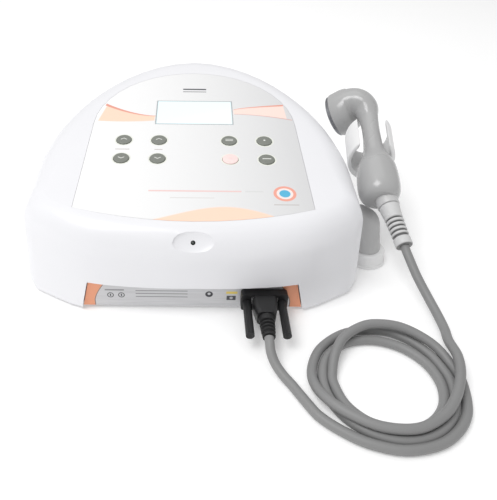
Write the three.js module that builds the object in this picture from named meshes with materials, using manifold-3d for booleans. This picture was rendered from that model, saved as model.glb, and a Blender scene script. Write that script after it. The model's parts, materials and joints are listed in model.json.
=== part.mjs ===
// An ultrasound therapy device: a desktop console with a sloping control panel, a treatment handset
// that lies in a side cradle, and the lead that joins the handset to the console's front socket.
// Millimetres, +Z up, +X to the operator's right, +Y away from the operator.
import * as THREE from "three";
import { mergeVertices } from "three/addons/utils/BufferGeometryUtils.js";
import Module from "manifold-3d";

const wasm = await Module();
wasm.setup();

// ---- Driving dimensions ------------------------------------------------------------------------

const CLEARANCE = 0.3; // between two pieces that touch
const WALL = 3;

// Console outline in plan: a rounded back, straight sides, cut front corners and a bowed front.
const HALF_WIDTH = 133.5; // at the top edge
const SIDE_DRAFT = 4.5; // how much wider each side is at the bottom
const WIDEST_Y = -43; // where the sides are full width
const BACK_DEPTH = 180; // from the widest line to the back
const BACK_EXPONENT = 1.84; // 2 would be an ellipse
const FRONT_Y = -133;
const FRONT_FLAT_HALF = 88; // half width of the bowed front
const FRONT_BOW = 8; // how far the front bulges past its corners
const CORNER_CUT_ANGLE = 0.54; // of the cut front corners to the front, radians
const CORNER_BLEND = 2.5; // softness of the outline's corners

// The sloping top plane: its height at Y = 0 and its rise per millimetre of depth.
const TOP_HEIGHT = 96.3;
const TOP_SLOPE = 0.155;
const SHOULDER_SIDE = 24; // rounding of the top edge along the sides and back, across
const SHOULDER_FRONT = 17; // and along the front
const SHOULDER_DROP = 24; // rounding of the top edge, downwards
const COVER_BOTTOM = 3;
const BASE_BOTTOM = 3.5;
const BASE_THICKNESS = 2.6;

// Control panel film, measured along the slope.
const FILM_RADIUS = 89;
const FILM_CENTRE_Y = 9;
const FILM_FRONT_Y = -102;
const FILM_FRONT_HALF = 91;
const FILM_BOW = 14;
const FILM_THICKNESS = 0.7;
const FILM_RECESS = 1;
const LCD_WIDTH = 69;
const LCD_HEIGHT = 38;
const LCD_Y = 28;
const LCD_EDGE = 2; // ledge under the window's edge
const KEY_RADIUS = 6.5;
const KEY_PROUD = 0.9;
const KEY_TRAVEL = 0.5;
const KEY_COLUMNS = [-60, -30, 30, 60];
const KEY_ROWS = [-15.7, -41.5];

// Front connector panel under the lip.
const PANEL_Y = -124.5;
const PANEL_TOP = 29;
const PANEL_HALF_TOP = 81;
const PANEL_HALF_BOTTOM = 88;
const PANEL_THICKNESS = 2;
const SOCKET_X = 55.5;
const SOCKET_Z = 16;
const SOCKET_WIDTH = 18;
const SOCKET_SCREWS = SOCKET_WIDTH + 9; // between the two thumbscrews
const SOCKET_HEIGHT = 9;

// Rear panel with the mains inlet and the power switch.
const REAR_WIDTH = 60;
const REAR_BOTTOM = 10;
const REAR_TOP = 50;
const REAR_INSET = 8; // from the outline's rearmost point to the panel's face

// Cradle: a foot on the table, a leaning post, and an open C clip along the handset.
const FOOT_X = 154.8;
const FOOT_Y = -57;
const FOOT_RADIUS = 16.4;
const FOOT_HEIGHT = 13;
const POST_RADIUS = 10;
const CLIP_INNER = 17.6;
const CLIP_WALL = 3.8;
const CLIP_START = 48; // along the handset, from the gland end
const CLIP_LENGTH = 30;
const CLIP_MOUTH = 25;
const CLIP_ASIDE = -2.2; // of the clip's middle from the handle's line
const CLIP_DROP = 3; // and below it

// Handset: where its cable end is, and the two directions that set how it lies.
const HANDSET_END = new THREE.Vector3(161.5, -42.5, 52.5);
const HANDLE_DIRECTION = new THREE.Vector3(0.045, 0.924, 0.38).normalize();
const HEAD_HINT = new THREE.Vector3(-0.78, 0.27, -0.56);
const HANDSET_WALL = 2;
const HANDLE_LENGTH = 103; // straight part of the handle
const NECK_BEND = 13; // radius of the neck's bend
const HEAD_REACH = 18; // from the bend to the treatment face
const HEAD_RADIUS = 21.5;
const FACE_RADIUS = 18.5;

// Gland, strain relief and lead.
const GLAND_OFFSET = new THREE.Vector3(5, -1, 0); // of the gland from the handle's centre line
const GLAND_DIRECTION = new THREE.Vector3(0.14, -0.928, -0.35).normalize();
const NUT_RADIUS = 9.3;
const NUT_LENGTH = 6;
const RELIEF_LENGTH = 40;
const CORD_RADIUS = 3.5;
const COIL_X = 135;
const COIL_Y = -201;
const COIL_OUTER = 54.5;
const COIL_INNER = 33;
const COIL_HEIGHT = 19;

// ---- Materials ---------------------------------------------------------------------------------

const material = (color, roughness, metalness = 0) =>
  new THREE.MeshStandardMaterial({ color, roughness, metalness });
const WHITE = material(0xededef, 0.35);
const FILM = material(0xdcdcde, 0.4);
const GLASS = material(0xeaf7fa, 0.1);
const KEY = material(0x7d807a, 0.4);
const STOP = material(0xe9b9b4, 0.4);
const SILVER = material(0xb8b8b8, 0.35, 0.6);
const GREY = material(0xa9a9a9, 0.3);
const PALE_GREY = material(0xc8c8c8, 0.45);
const LEAD_GREY = material(0x8c8c8c, 0.5);
const BLACK = material(0x151515, 0.4);
const STEEL = material(0xc9c9cc, 0.3, 0.9);
const RUBBER = material(0x202020, 0.9);
const BOARD = material(0x1f5a35, 0.6);
const COPPER = material(0xb87333, 0.4, 0.8);
const CERAMIC = material(0xe8e2d2, 0.7);
const GREEN_LIGHT = material(0x5fae5f, 0.2);

// ---- Solid helpers -----------------------------------------------------------------------------

// A closed geometry as a solid, its shared corners merged.
function solid(geometry) {
  const flat = geometry.index ? geometry.toNonIndexed() : geometry.clone();
  flat.deleteAttribute("normal");
  flat.deleteAttribute("uv");
  const merged = mergeVertices(flat, 1e-4);
  return new wasm.Manifold(
    new wasm.Mesh({
      numProp: 3,
      vertProperties: merged.attributes.position.array,
      triVerts: new Uint32Array(merged.index.array),
    }),
  );
}

function geometryOf(made) {
  const mesh = made.getMesh();
  const geometry = new THREE.BufferGeometry();
  geometry.setAttribute("position", new THREE.BufferAttribute(mesh.vertProperties, 3));
  geometry.setIndex(new THREE.BufferAttribute(mesh.triVerts, 1));
  geometry.computeVertexNormals();
  return geometry;
}

const cut = (body, ...tools) =>
  geometryOf(tools.reduce((left, tool) => left.subtract(solid(tool)), solid(body)));
const join = (body, ...others) =>
  geometryOf(others.reduce((sum, other) => sum.add(solid(other)), solid(body)));
const common = (a, b) => geometryOf(solid(a).intersect(solid(b)));

// A box and an upright cylinder that stand on z, centred on x and y.
const box = (width, depth, height, x, y, z) =>
  new THREE.BoxGeometry(width, depth, height).translate(x, y, z + height / 2);
const cylinder = (radius, height, x, y, z, sides = 24) =>
  new THREE.CylinderGeometry(radius, radius, height, sides)
    .rotateX(Math.PI / 2)
    .translate(x, y, z + height / 2);

// A turned piece about +Z from [radius, z] pairs.
const turned = (profile, sides = 24) =>
  new THREE.LatheGeometry(profile.map(([r, z]) => new THREE.Vector2(r, z)), sides).rotateX(
    Math.PI / 2,
  );

// A flat outline in X and Y given a thickness upwards from z.
const plate = (shape, z, thickness, curveSegments = 12) =>
  new THREE.ExtrudeGeometry(shape, { depth: thickness, bevelEnabled: false, curveSegments }).translate(
    0,
    0,
    z,
  );

// A closed skin over rings of points, flat at both ends, with its faces outward.
function skinned(rings) {
  const count = rings[0].length;
  const positions = rings.flat().flatMap((p) => [p.x, p.y, p.z]);
  const index = [];
  for (let ring = 0; ring < rings.length - 1; ring += 1) {
    for (let i = 0; i < count; i += 1) {
      const a = ring * count + i;
      const b = ring * count + ((i + 1) % count);
      index.push(a, b, b + count, a, b + count, a + count);
    }
  }
  for (const [ring, turn] of [
    [0, -1],
    [rings.length - 1, 1],
  ]) {
    const middle = new THREE.Vector3();
    rings[ring].forEach((p) => middle.addScaledVector(p, 1 / count));
    const centre = positions.length / 3;
    positions.push(middle.x, middle.y, middle.z);
    for (let i = 0; i < count; i += 1) {
      const a = ring * count + i;
      const b = ring * count + ((i + 1) % count);
      index.push(centre, ...(turn > 0 ? [a, b] : [b, a]));
    }
  }
  const geometry = new THREE.BufferGeometry();
  geometry.setAttribute("position", new THREE.Float32BufferAttribute(positions, 3));
  geometry.setIndex(index);
  geometry.computeVertexNormals();
  return geometry;
}

// A round bar along a smooth curve through points.
function bar(points, radius, steps, sides = 8) {
  const ring = new THREE.Shape();
  ring.absarc(0, 0, radius, 0, Math.PI * 2, false);
  const path = new THREE.CatmullRomCurve3(points, false, "centripetal");
  return new THREE.ExtrudeGeometry(ring, {
    steps,
    extrudePath: path,
    bevelEnabled: false,
    curveSegments: sides,
  });
}

// ---- The group and its pieces ------------------------------------------------------------------

const device = new THREE.Group();
const cordNames = new Set();

function add(name, geometry, look, onCord = false) {
  const mesh = new THREE.Mesh(geometry, look);
  mesh.name = name;
  device.add(mesh);
  if (onCord) cordNames.add(name);
  return mesh;
}

// ---- Console outline ---------------------------------------------------------------------------

// How far the wall stands from the spine point (0, WIDEST_Y) in one direction, moved in by inset.
// It is the soft minimum of the rounded back or straight side, the cut corner and the bowed front.
function reach(angle, inset) {
  const across = Math.abs(Math.cos(angle));
  const along = Math.sin(angle);
  const half = HALF_WIDTH - inset;
  const depth = BACK_DEPTH - inset;
  const back = ((across / half) ** BACK_EXPONENT + (Math.abs(along) / depth) ** BACK_EXPONENT) ** (
    -1 / BACK_EXPONENT
  );
  if (along >= 0) return back;
  const side = half / Math.max(across, 1e-6);
  const cornerY = FRONT_Y + FRONT_BOW - WIDEST_Y;
  const normalX = Math.sin(CORNER_CUT_ANGLE);
  const normalY = -Math.cos(CORNER_CUT_ANGLE);
  const offset = normalX * FRONT_FLAT_HALF + normalY * cornerY - inset;
  const corner = offset / (normalX * across + normalY * along);
  const bowRadius = (FRONT_FLAT_HALF ** 2 + FRONT_BOW ** 2) / (2 * FRONT_BOW);
  const bowCentre = FRONT_Y - WIDEST_Y + bowRadius;
  const facing = bowCentre * along;
  const front = facing + Math.sqrt(Math.max(facing ** 2 - bowCentre ** 2 + (bowRadius - inset) ** 2, 0));
  const candidates = front > 0 ? [side, corner, front] : [side, corner];
  const sum = candidates.reduce((total, r) => total + Math.exp(-r / CORNER_BLEND), 0);
  return -CORNER_BLEND * Math.log(sum);
}

const OUTLINE_POINTS = 56;
const topAt = (y) => TOP_HEIGHT + TOP_SLOPE * y;

// One ring of the console's skin: inset(angle) moves it in, height(point) sets its z.
function consoleRing(inset, height) {
  return Array.from({ length: OUTLINE_POINTS }, (_, i) => {
    const angle = (i / OUTLINE_POINTS) * Math.PI * 2;
    const distance = reach(angle, inset(angle));
    const point = new THREE.Vector3(distance * Math.cos(angle), WIDEST_Y + distance * Math.sin(angle));
    point.z = height(point);
    return point;
  });
}

// The shoulder is narrower along the front, where the panel comes close to the edge.
function shoulder(angle) {
  const t = THREE.MathUtils.smoothstep(Math.sin(angle), -0.45, 0.1);
  return THREE.MathUtils.lerp(SHOULDER_FRONT, SHOULDER_SIDE, t);
}

const SHOULDER_STEPS = 6;

// The console's body, moved in by a wall, from a flat bottom up to the sloping top.
function consoleBody(wall, bottom) {
  const lean = SIDE_DRAFT * (1 + (COVER_BOTTOM - bottom) / (TOP_HEIGHT - SHOULDER_DROP));
  const rings = [
    consoleRing(
      (angle) => wall - lean * Math.abs(Math.cos(angle)),
      () => bottom,
    ),
  ];
  for (let step = 0; step <= SHOULDER_STEPS; step += 1) {
    const turn = (step / SHOULDER_STEPS) * (Math.PI / 2);
    rings.push(
      consoleRing(
        (angle) => wall + (shoulder(angle) - wall) * (1 - Math.cos(turn)),
        (p) => topAt(p.y) - wall - (SHOULDER_DROP - wall) * (1 - Math.sin(turn)),
      ),
    );
  }
  return skinned(rings);
}

// ---- Control panel places ----------------------------------------------------------------------

// Moves a geometry from the panel's own frame, with z along its normal, onto the sloping top.
const PANEL_FRAME = new THREE.Matrix4()
  .makeTranslation(0, 0, TOP_HEIGHT)
  .multiply(new THREE.Matrix4().makeRotationX(Math.atan(TOP_SLOPE)));
const onPanel = (geometry) => geometry.applyMatrix4(PANEL_FRAME);

// The film's outline: a round top, sides that spread a little, and a bowed front, grown by margin.
function filmShape(margin) {
  const shape = new THREE.Shape();
  const half = FILM_FRONT_HALF + margin;
  const front = FILM_FRONT_Y;
  shape.moveTo(-half, front);
  shape.quadraticCurveTo(0, front - 2 * FILM_BOW - 2 * margin, half, front);
  shape.lineTo(FILM_RADIUS + margin, FILM_CENTRE_Y);
  shape.absarc(0, FILM_CENTRE_Y, FILM_RADIUS + margin, 0, Math.PI, false);
  shape.closePath();
  return shape;
}

const FILM_CURVE = 10;
const KEY_GAP = 0.4;
const KEY_SIDES = 14;
const keyPlaces = KEY_ROWS.flatMap((y) => KEY_COLUMNS.map((x) => [x, y]));
const KEY_NAMES = [
  "key_output_up",
  "key_time_up",
  "key_mode",
  "key_rate",
  "key_output_down",
  "key_time_down",
  "key_stop",
  "key_start",
];

// ---- Top cover ---------------------------------------------------------------------------------

// The dimple in the front shoulder that holds the power light, and the light's own frame in it.
const DIMPLE = new THREE.Vector3(0, FRONT_Y + SHOULDER_FRONT * 0.3, topAt(FRONT_Y) - SHOULDER_DROP * 0.29);
const DIMPLE_TILT = 0.95; // of its axis from upright, towards the operator
const DIMPLE_SIZE = [15.5, 8.5, 2.2];
const LIGHT_RADIUS = 1.5;
const onDimple = (geometry) => geometry.rotateX(DIMPLE_TILT).translate(DIMPLE.x, DIMPLE.y, DIMPLE.z);

const rearFace = WIDEST_Y + BACK_DEPTH - REAR_INSET;
const caseScrews = [
  [-104, -78],
  [104, -78],
  [-62, 78],
  [62, 78],
];
const SCREW_RADIUS = 1.5;
const BOSS_RADIUS = 4.5;
const bossBottom = BASE_BOTTOM + BASE_THICKNESS + CLEARANCE;

function panelOpening(margin, back) {
  const shape = new THREE.Shape();
  shape.moveTo(-PANEL_HALF_BOTTOM - margin, 0);
  shape.lineTo(PANEL_HALF_BOTTOM + margin, 0);
  shape.lineTo(PANEL_HALF_TOP + margin, PANEL_TOP);
  shape.lineTo(-PANEL_HALF_TOP - margin, PANEL_TOP);
  shape.closePath();
  const depth = back - FRONT_Y + 10;
  return new THREE.ExtrudeGeometry(shape, { depth, bevelEnabled: false })
    .rotateX(Math.PI / 2)
    .translate(0, back, 0);
}

const panelBack = PANEL_Y + PANEL_THICKNESS;
const shell = cut(consoleBody(0, COVER_BOTTOM), consoleBody(WALL, COVER_BOTTOM - 5));
const frontLedge = common(
  consoleBody(0, COVER_BOTTOM),
  box(2 * PANEL_HALF_BOTTOM, 16, WALL, 0, FRONT_Y + 8, PANEL_TOP - 0.01),
);
const rearLedges = [REAR_BOTTOM - WALL, REAR_TOP].map((z) =>
  common(
    consoleBody(0, COVER_BOTTOM),
    box(REAR_WIDTH + 2 * WALL, REAR_INSET + 8, WALL, 0, rearFace + REAR_INSET / 2, z),
  ),
);
const bosses = caseScrews.map(([x, y]) =>
  cylinder(BOSS_RADIUS, topAt(y) - WALL / 2 - bossBottom, x, y, bossBottom, 10),
);
const coverCuts = [
  panelOpening(CLEARANCE, panelBack + CLEARANCE),
  box(REAR_WIDTH, 20, REAR_TOP - REAR_BOTTOM, 0, rearFace + 10 - PANEL_THICKNESS - CLEARANCE, REAR_BOTTOM),
  onPanel(plate(filmShape(CLEARANCE), -FILM_RECESS, 30, FILM_CURVE)),
  onPanel(box(LCD_WIDTH - 2 * LCD_EDGE, LCD_HEIGHT - 2 * LCD_EDGE, 20, 0, LCD_Y, -10)),
  ...keyPlaces.map(([x, y]) => onPanel(cylinder(KEY_RADIUS + KEY_GAP, 20, x, y, -10, KEY_SIDES))),
  onDimple(new THREE.SphereGeometry(1, 14, 8).scale(...DIMPLE_SIZE)),
  onDimple(cylinder(LIGHT_RADIUS + CLEARANCE, 20, 0, 0, -14, 12)),
  ...caseScrews.map(([x, y]) => cylinder(SCREW_RADIUS + CLEARANCE, 16, x, y, bossBottom - 1, 12)),
];
const cover = cut(join(shell, frontLedge, ...rearLedges, ...bosses), ...coverCuts);
add("top_cover", cover, WHITE);

// ---- Base plate, feet and screws ---------------------------------------------------------------

const VENT_COUNT = 7;
const VENT_PITCH = 8;
const CRADLE_SCREWS = [-7, 7];
const CRADLE_SCREW_X = 117;
const standoffs = [
  [-86, -40],
  [-20, -40],
  [-86, 30],
  [-20, 30],
];
const baseTop = BASE_BOTTOM + BASE_THICKNESS;
const STANDOFF_HEIGHT = 7;

function basePlate() {
  const edge = (angle) => WALL + 2 * CLEARANCE - SIDE_DRAFT * 0.9 * Math.abs(Math.cos(angle));
  const slab = skinned([consoleRing(edge, () => BASE_BOTTOM), consoleRing(edge, () => baseTop)]);
  const vents = Array.from({ length: VENT_COUNT }, (_, i) =>
    box(34, 3, 20, 40, 20 + (i - VENT_COUNT / 2) * VENT_PITCH, -5),
  );
  const holes = [
    ...caseScrews.map(([x, y]) => cylinder(SCREW_RADIUS + CLEARANCE, 20, x, y, -5, 12)),
    ...CRADLE_SCREWS.map((dy) =>
      cylinder(SCREW_RADIUS + CLEARANCE, 20, CRADLE_SCREW_X, FOOT_Y + dy, -5, 12),
    ),
    box(2 * PANEL_HALF_BOTTOM + 4, 40, 20, 0, panelBack + CLEARANCE - 20, -5),
    box(REAR_WIDTH + 8, 40, 20, 0, rearFace - PANEL_THICKNESS - CLEARANCE + 20, -5),
  ];
  const posts = standoffs.map(([x, y]) => cylinder(3.5, STANDOFF_HEIGHT + 1, x, y, baseTop - 1, 8));
  return cut(join(slab, ...posts), ...vents, ...holes);
}
add("base_plate", basePlate(), PALE_GREY);

const FOOT_PAD_RADIUS = 8;
const footPads = [
  ["foot_front_left", -92, -98],
  ["foot_front_right", 92, -98],
  ["foot_rear_left", -66, 62],
  ["foot_rear_right", 66, 62],
];
for (const [name, x, y] of footPads) {
  const height = BASE_BOTTOM - CLEARANCE;
  add(name, cylinder(FOOT_PAD_RADIUS, height, x, y, 0, 20), RUBBER);
}

const SCREW_HEAD = 3;
caseScrews.forEach(([x, y], i) => {
  const head = BASE_BOTTOM - CLEARANCE - 1.6;
  const profile = [
    [0, 0],
    [SCREW_HEAD, 0],
    [SCREW_HEAD, 1.6],
    [SCREW_RADIUS, 1.6],
    [SCREW_RADIUS, 16],
    [0, 16.8],
  ];
  add(`case_screw_${i + 1}`, turned(profile, 12).translate(x, y, head), STEEL);
});

// ---- Connector panel and its socket ------------------------------------------------------------

const SOCKET_FLANGE_WIDTH = SOCKET_SCREWS + 7;
const SOCKET_FLANGE_HEIGHT = 12.5;
const SOCKET_FLANGE = 0.8;
const SOCKET_REACH = 5.6; // how far the metal collar stands out of the flange
const JACK_NUT_RADIUS = 2.5;
const socketFace = PANEL_Y - CLEARANCE - SOCKET_FLANGE;

// A piece that is thick along -Y: an outline in X and Z about the socket's centre, from y outwards.
function facing(shape, y, thickness, segments = 6) {
  return new THREE.ExtrudeGeometry(shape, {
    depth: thickness,
    bevelEnabled: false,
    curveSegments: segments,
  })
    .rotateX(Math.PI / 2)
    .translate(SOCKET_X, y, SOCKET_Z);
}

// A rectangle with rounded corners, narrower at the bottom by lean on each side.
function softBox(width, height, corner, lean = 0) {
  const shape = new THREE.Shape();
  const x = width / 2;
  const y = height / 2;
  shape.moveTo(-x + corner, y);
  shape.quadraticCurveTo(-x, y, -x + lean * 0.2, y - corner);
  shape.lineTo(-x + lean, -y + corner);
  shape.quadraticCurveTo(-x + lean, -y, -x + lean + corner, -y);
  shape.lineTo(x - lean - corner, -y);
  shape.quadraticCurveTo(x - lean, -y, x - lean, -y + corner);
  shape.lineTo(x - lean * 0.2, y - corner);
  shape.quadraticCurveTo(x, y, x - corner, y);
  shape.closePath();
  return shape;
}

const along = (radius, y0, y1, dx, sides = 12) =>
  new THREE.CylinderGeometry(radius, radius, y0 - y1, sides).translate(
    SOCKET_X + dx,
    (y0 + y1) / 2,
    SOCKET_Z,
  );

const panelPlate = common(
  panelOpening(-CLEARANCE, panelBack),
  box(400, PANEL_THICKNESS, PANEL_TOP - 2 * CLEARANCE - BASE_BOTTOM, 0, PANEL_Y + 1, BASE_BOTTOM),
);
add(
  "connector_panel",
  cut(
    panelPlate,
    facing(softBox(SOCKET_WIDTH + 2, SOCKET_HEIGHT + 2, 1.5), panelBack + 5, 20),
    ...[-1, 1].map((side) =>
      along(JACK_NUT_RADIUS + CLEARANCE, panelBack + 5, -150, (side * SOCKET_SCREWS) / 2),
    ),
  ),
  SILVER,
);

const socketShape = (margin) => softBox(SOCKET_WIDTH + 2 * margin, SOCKET_HEIGHT + 2 * margin, 1.5, 1.2);
const socketFlange = facing(
  softBox(SOCKET_FLANGE_WIDTH, SOCKET_FLANGE_HEIGHT, 1.5),
  PANEL_Y - CLEARANCE,
  SOCKET_FLANGE,
);
const socketCollar = facing(socketShape(0), PANEL_Y - CLEARANCE, SOCKET_FLANGE + SOCKET_REACH);
add(
  "socket_shell",
  cut(
    join(socketFlange, socketCollar),
    facing(socketShape(-0.6), panelBack + 5, 40),
    ...[-1, 1].map((side) => along(1.6, panelBack, -150, (side * SOCKET_SCREWS) / 2)),
  ),
  STEEL,
);

const PIN_RADIUS = 0.55;
const pinPlaces = [
  ...[-5.6, -2.8, 0, 2.8, 5.6].map((x) => [x, 1.4]),
  ...[-4.2, -1.4, 1.4, 4.2].map((x) => [x, -1.4]),
];
const pinHoles = pinPlaces.map(([x, z]) =>
  along(PIN_RADIUS, socketFace - 2, -150, x, 6).translate(0, 0, z),
);
add(
  "socket_insulator",
  cut(facing(socketShape(-0.6 - CLEARANCE), panelBack, PANEL_THICKNESS + SOCKET_FLANGE + SOCKET_REACH), ...pinHoles),
  BLACK,
);

for (const [name, side] of [
  ["socket_nut_left", -1],
  ["socket_nut_right", 1],
]) {
  const dx = (side * SOCKET_SCREWS) / 2;
  const nut = along(JACK_NUT_RADIUS, socketFace - CLEARANCE, socketFace - SOCKET_REACH, dx, 6);
  const stud = along(1.3, panelBack + 4, socketFace - 1, dx, 8);
  add(name, cut(join(nut, stud), along(1.2, socketFace - 2, -150, dx, 8)), STEEL);
}

// ---- Control panel film, window, keys and light ------------------------------------------------

const filmBottom = -FILM_THICKNESS;
add(
  "control_overlay",
  onPanel(
    cut(
      plate(filmShape(0), filmBottom, FILM_THICKNESS, FILM_CURVE),
      box(LCD_WIDTH + 2 * CLEARANCE, LCD_HEIGHT + 2 * CLEARANCE, 4, 0, LCD_Y, -2),
      ...keyPlaces.map(([x, y]) => cylinder(KEY_RADIUS + KEY_GAP, 4, x, y, -2, KEY_SIDES)),
    ),
  ),
  FILM,
);
add("lcd_window", onPanel(box(LCD_WIDTH, LCD_HEIGHT, FILM_THICKNESS, 0, LCD_Y, filmBottom)), GLASS);

const roofUnder = -WALL / Math.cos(Math.atan(TOP_SLOPE)) - 0.2;
const LCD_BOARD = [86, 58, 1.6];
const lcdGlass = box(LCD_WIDTH + 5, LCD_HEIGHT + 5, 4.4, 0, LCD_Y, roofUnder - CLEARANCE - 4.4);
const lcdBoard = box(...LCD_BOARD, 0, LCD_Y + 4, roofUnder - CLEARANCE - 5.9);
add("lcd_module", onPanel(join(lcdBoard, lcdGlass)), BOARD);

const FLANGE_WIDTH = 1.2;
const FLANGE_HEIGHT = 1;
const flangeTop = roofUnder - CLEARANCE;
const switchTop = flangeTop - FLANGE_HEIGHT - KEY_TRAVEL - CLEARANCE;
keyPlaces.forEach(([x, y], i) => {
  const profile = [
    [0, flangeTop - FLANGE_HEIGHT],
    [KEY_RADIUS + FLANGE_WIDTH, flangeTop - FLANGE_HEIGHT],
    [KEY_RADIUS + FLANGE_WIDTH, flangeTop],
    [KEY_RADIUS, flangeTop],
    [KEY_RADIUS, KEY_PROUD - 0.5],
    [KEY_RADIUS - 0.6, KEY_PROUD],
    [0, KEY_PROUD],
  ];
  add(
    KEY_NAMES[i],
    onPanel(turned(profile, KEY_SIDES).translate(x, y, 0)),
    KEY_NAMES[i] === "key_stop" ? STOP : KEY,
  );
});

const SWITCH_HEIGHT = 3;
const KEY_BOARD = [142, 42, 1.6];
const keyBoardTop = switchTop - SWITCH_HEIGHT;
const keyBoard = box(...KEY_BOARD, 0, (KEY_ROWS[0] + KEY_ROWS[1]) / 2 - 1, keyBoardTop - KEY_BOARD[2]);
const switches = keyPlaces.map(([x, y]) => box(6, 6, SWITCH_HEIGHT + 0.2, x, y, keyBoardTop - 0.2));
add("keypad_board", onPanel(join(keyBoard, ...switches)), BOARD);

const lightProfile = [
  [0, -9],
  [LIGHT_RADIUS, -9],
  [LIGHT_RADIUS, -3],
  [LIGHT_RADIUS * 0.7, -2.2],
  [0, -1.9],
];
add("power_light", onDimple(turned(lightProfile, 12)), GREEN_LIGHT);

// ---- Inside ------------------------------------------------------------------------------------

const boardZ = baseTop + STANDOFF_HEIGHT + CLEARANCE;
const BOARD_THICKNESS = 1.6;
const chipTop = boardZ + BOARD_THICKNESS - 0.1;
const chips = [
  box(14, 14, 3, -70, 0, chipTop),
  box(20, 8, 4, -45, -20, chipTop),
  box(20, 8, 4, -45, 14, chipTop),
  box(9, 26, 8, -90, -6, chipTop),
  cylinder(5, 14, -28, 22, chipTop, 12),
  cylinder(5, 14, -28, 4, chipTop, 12),
];
add("main_board", join(box(86, 88, BOARD_THICKNESS, -53, -5, boardZ), ...chips), BOARD);

const POWER_X = 8;
const powerZ = baseTop + CLEARANCE;
const powerParts = [
  cylinder(9, 24, POWER_X - 18, 66, powerZ + 3, 14),
  cylinder(6, 18, POWER_X + 4, 52, powerZ + 3, 12),
  box(24, 20, 18, POWER_X + 16, 74, powerZ + 3),
];
add("power_board", join(box(74, 56, 4, POWER_X, 66, powerZ), ...powerParts), BOARD);

const COIL_FORM = [30, 26, 22];
const transformer = join(
  box(40, 14, 34, 58, -76, powerZ),
  box(...COIL_FORM, 58, -76, powerZ + 6),
  box(48, 20, 4, 58, -76, powerZ),
);
add("transformer", transformer, COPPER);

const FIN_COUNT = 7;
const finPitch = 5;
const fins = Array.from({ length: FIN_COUNT }, (_, i) =>
  box(1.6, 40, 24, 80 + (i - (FIN_COUNT - 1) / 2) * finPitch, -24, powerZ + 2),
);
add("heat_sink", join(box(34, 40, 4, 80, -24, powerZ), ...fins), STEEL);
const outputBoard = join(
  box(44, 60, BOARD_THICKNESS, 30, -26, boardZ),
  box(16, 16, 10, 28, -40, chipTop),
  box(12, 12, 8, 34, -12, chipTop),
);
add("output_board", outputBoard, BOARD);
const buzzer = turned(
  [
    [0, 0],
    [6, 0],
    [6, 7],
    [1.6, 7],
    [1.6, 6],
    [0, 6],
  ],
  16,
).translate(-53, 60, powerZ);
add("buzzer", buzzer, BLACK);

// ---- Rear panel, inlet, fuse and switch --------------------------------------------------------

const rearMid = (REAR_BOTTOM + REAR_TOP) / 2;
const INLET_X = -14;
const INLET_WIDTH = 27;
const INLET_HEIGHT = 31;
const SWITCH_X = 19;
const SWITCH_WIDTH = 13;
const SWITCH_TALL = 19;
const FRAME_EDGE = 1.6;
const rearBlock = (width, height, y0, y1, x, z) =>
  new THREE.BoxGeometry(width, y1 - y0, height).translate(x, (y0 + y1) / 2, z);
add(
  "rear_panel",
  cut(
    rearBlock(
      REAR_WIDTH - 2 * CLEARANCE,
      REAR_TOP - REAR_BOTTOM - 2 * CLEARANCE,
      rearFace - PANEL_THICKNESS,
      rearFace,
      0,
      rearMid,
    ),
    rearBlock(INLET_WIDTH, INLET_HEIGHT, rearFace - 9, rearFace + 9, INLET_X, rearMid),
    rearBlock(SWITCH_WIDTH, SWITCH_TALL, rearFace - 9, rearFace + 9, SWITCH_X, rearMid),
  ),
  PALE_GREY,
);

const INLET_DEPTH = 22;
const inletFace = rearFace + CLEARANCE + 2.4;
const socketZ = rearMid - 5;
const drawerZ = rearMid + 10.5;
const DRAWER_WIDTH = 18;
const DRAWER_HEIGHT = 7;
const DRAWER_DEPTH = 16;
const EARTH_Z = 3;
const inletBody = join(
  rearBlock(
    INLET_WIDTH - 2 * CLEARANCE,
    INLET_HEIGHT - 2 * CLEARANCE,
    rearFace - INLET_DEPTH,
    rearFace + 1,
    INLET_X,
    rearMid,
  ),
  rearBlock(INLET_WIDTH + 4, INLET_HEIGHT + 4, rearFace + CLEARANCE, inletFace, INLET_X, rearMid),
);
const blade = (dx, dz) => rearBlock(2, 4, inletFace - 18, inletFace - 2, INLET_X + dx, socketZ + dz);
const hollowInlet = cut(
  inletBody,
  rearBlock(24, 15.5, inletFace - 16, inletFace + 5, INLET_X, socketZ),
  rearBlock(DRAWER_WIDTH, DRAWER_HEIGHT, inletFace - DRAWER_DEPTH, inletFace + 5, INLET_X, drawerZ),
);
add("mains_inlet", join(hollowInlet, blade(-7, -2), blade(7, -2), blade(0, EARTH_Z)), BLACK);

const drawer = cut(
  rearBlock(
    DRAWER_WIDTH - 2 * CLEARANCE,
    DRAWER_HEIGHT - 2 * CLEARANCE,
    inletFace - DRAWER_DEPTH + CLEARANCE,
    inletFace + 1.2,
    INLET_X,
    drawerZ,
  ),
  rearBlock(DRAWER_WIDTH - 5, DRAWER_HEIGHT, inletFace - DRAWER_DEPTH + 2, inletFace - 6, INLET_X, drawerZ + 2),
);
add("fuse_drawer", drawer, BLACK);
const FUSE_RADIUS = 1.5;
add(
  "fuse",
  new THREE.CylinderGeometry(FUSE_RADIUS, FUSE_RADIUS, 12, 10)
    .rotateZ(Math.PI / 2)
    .translate(INLET_X, inletFace - 9, drawerZ + 0.6),
  GLASS,
);

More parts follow.
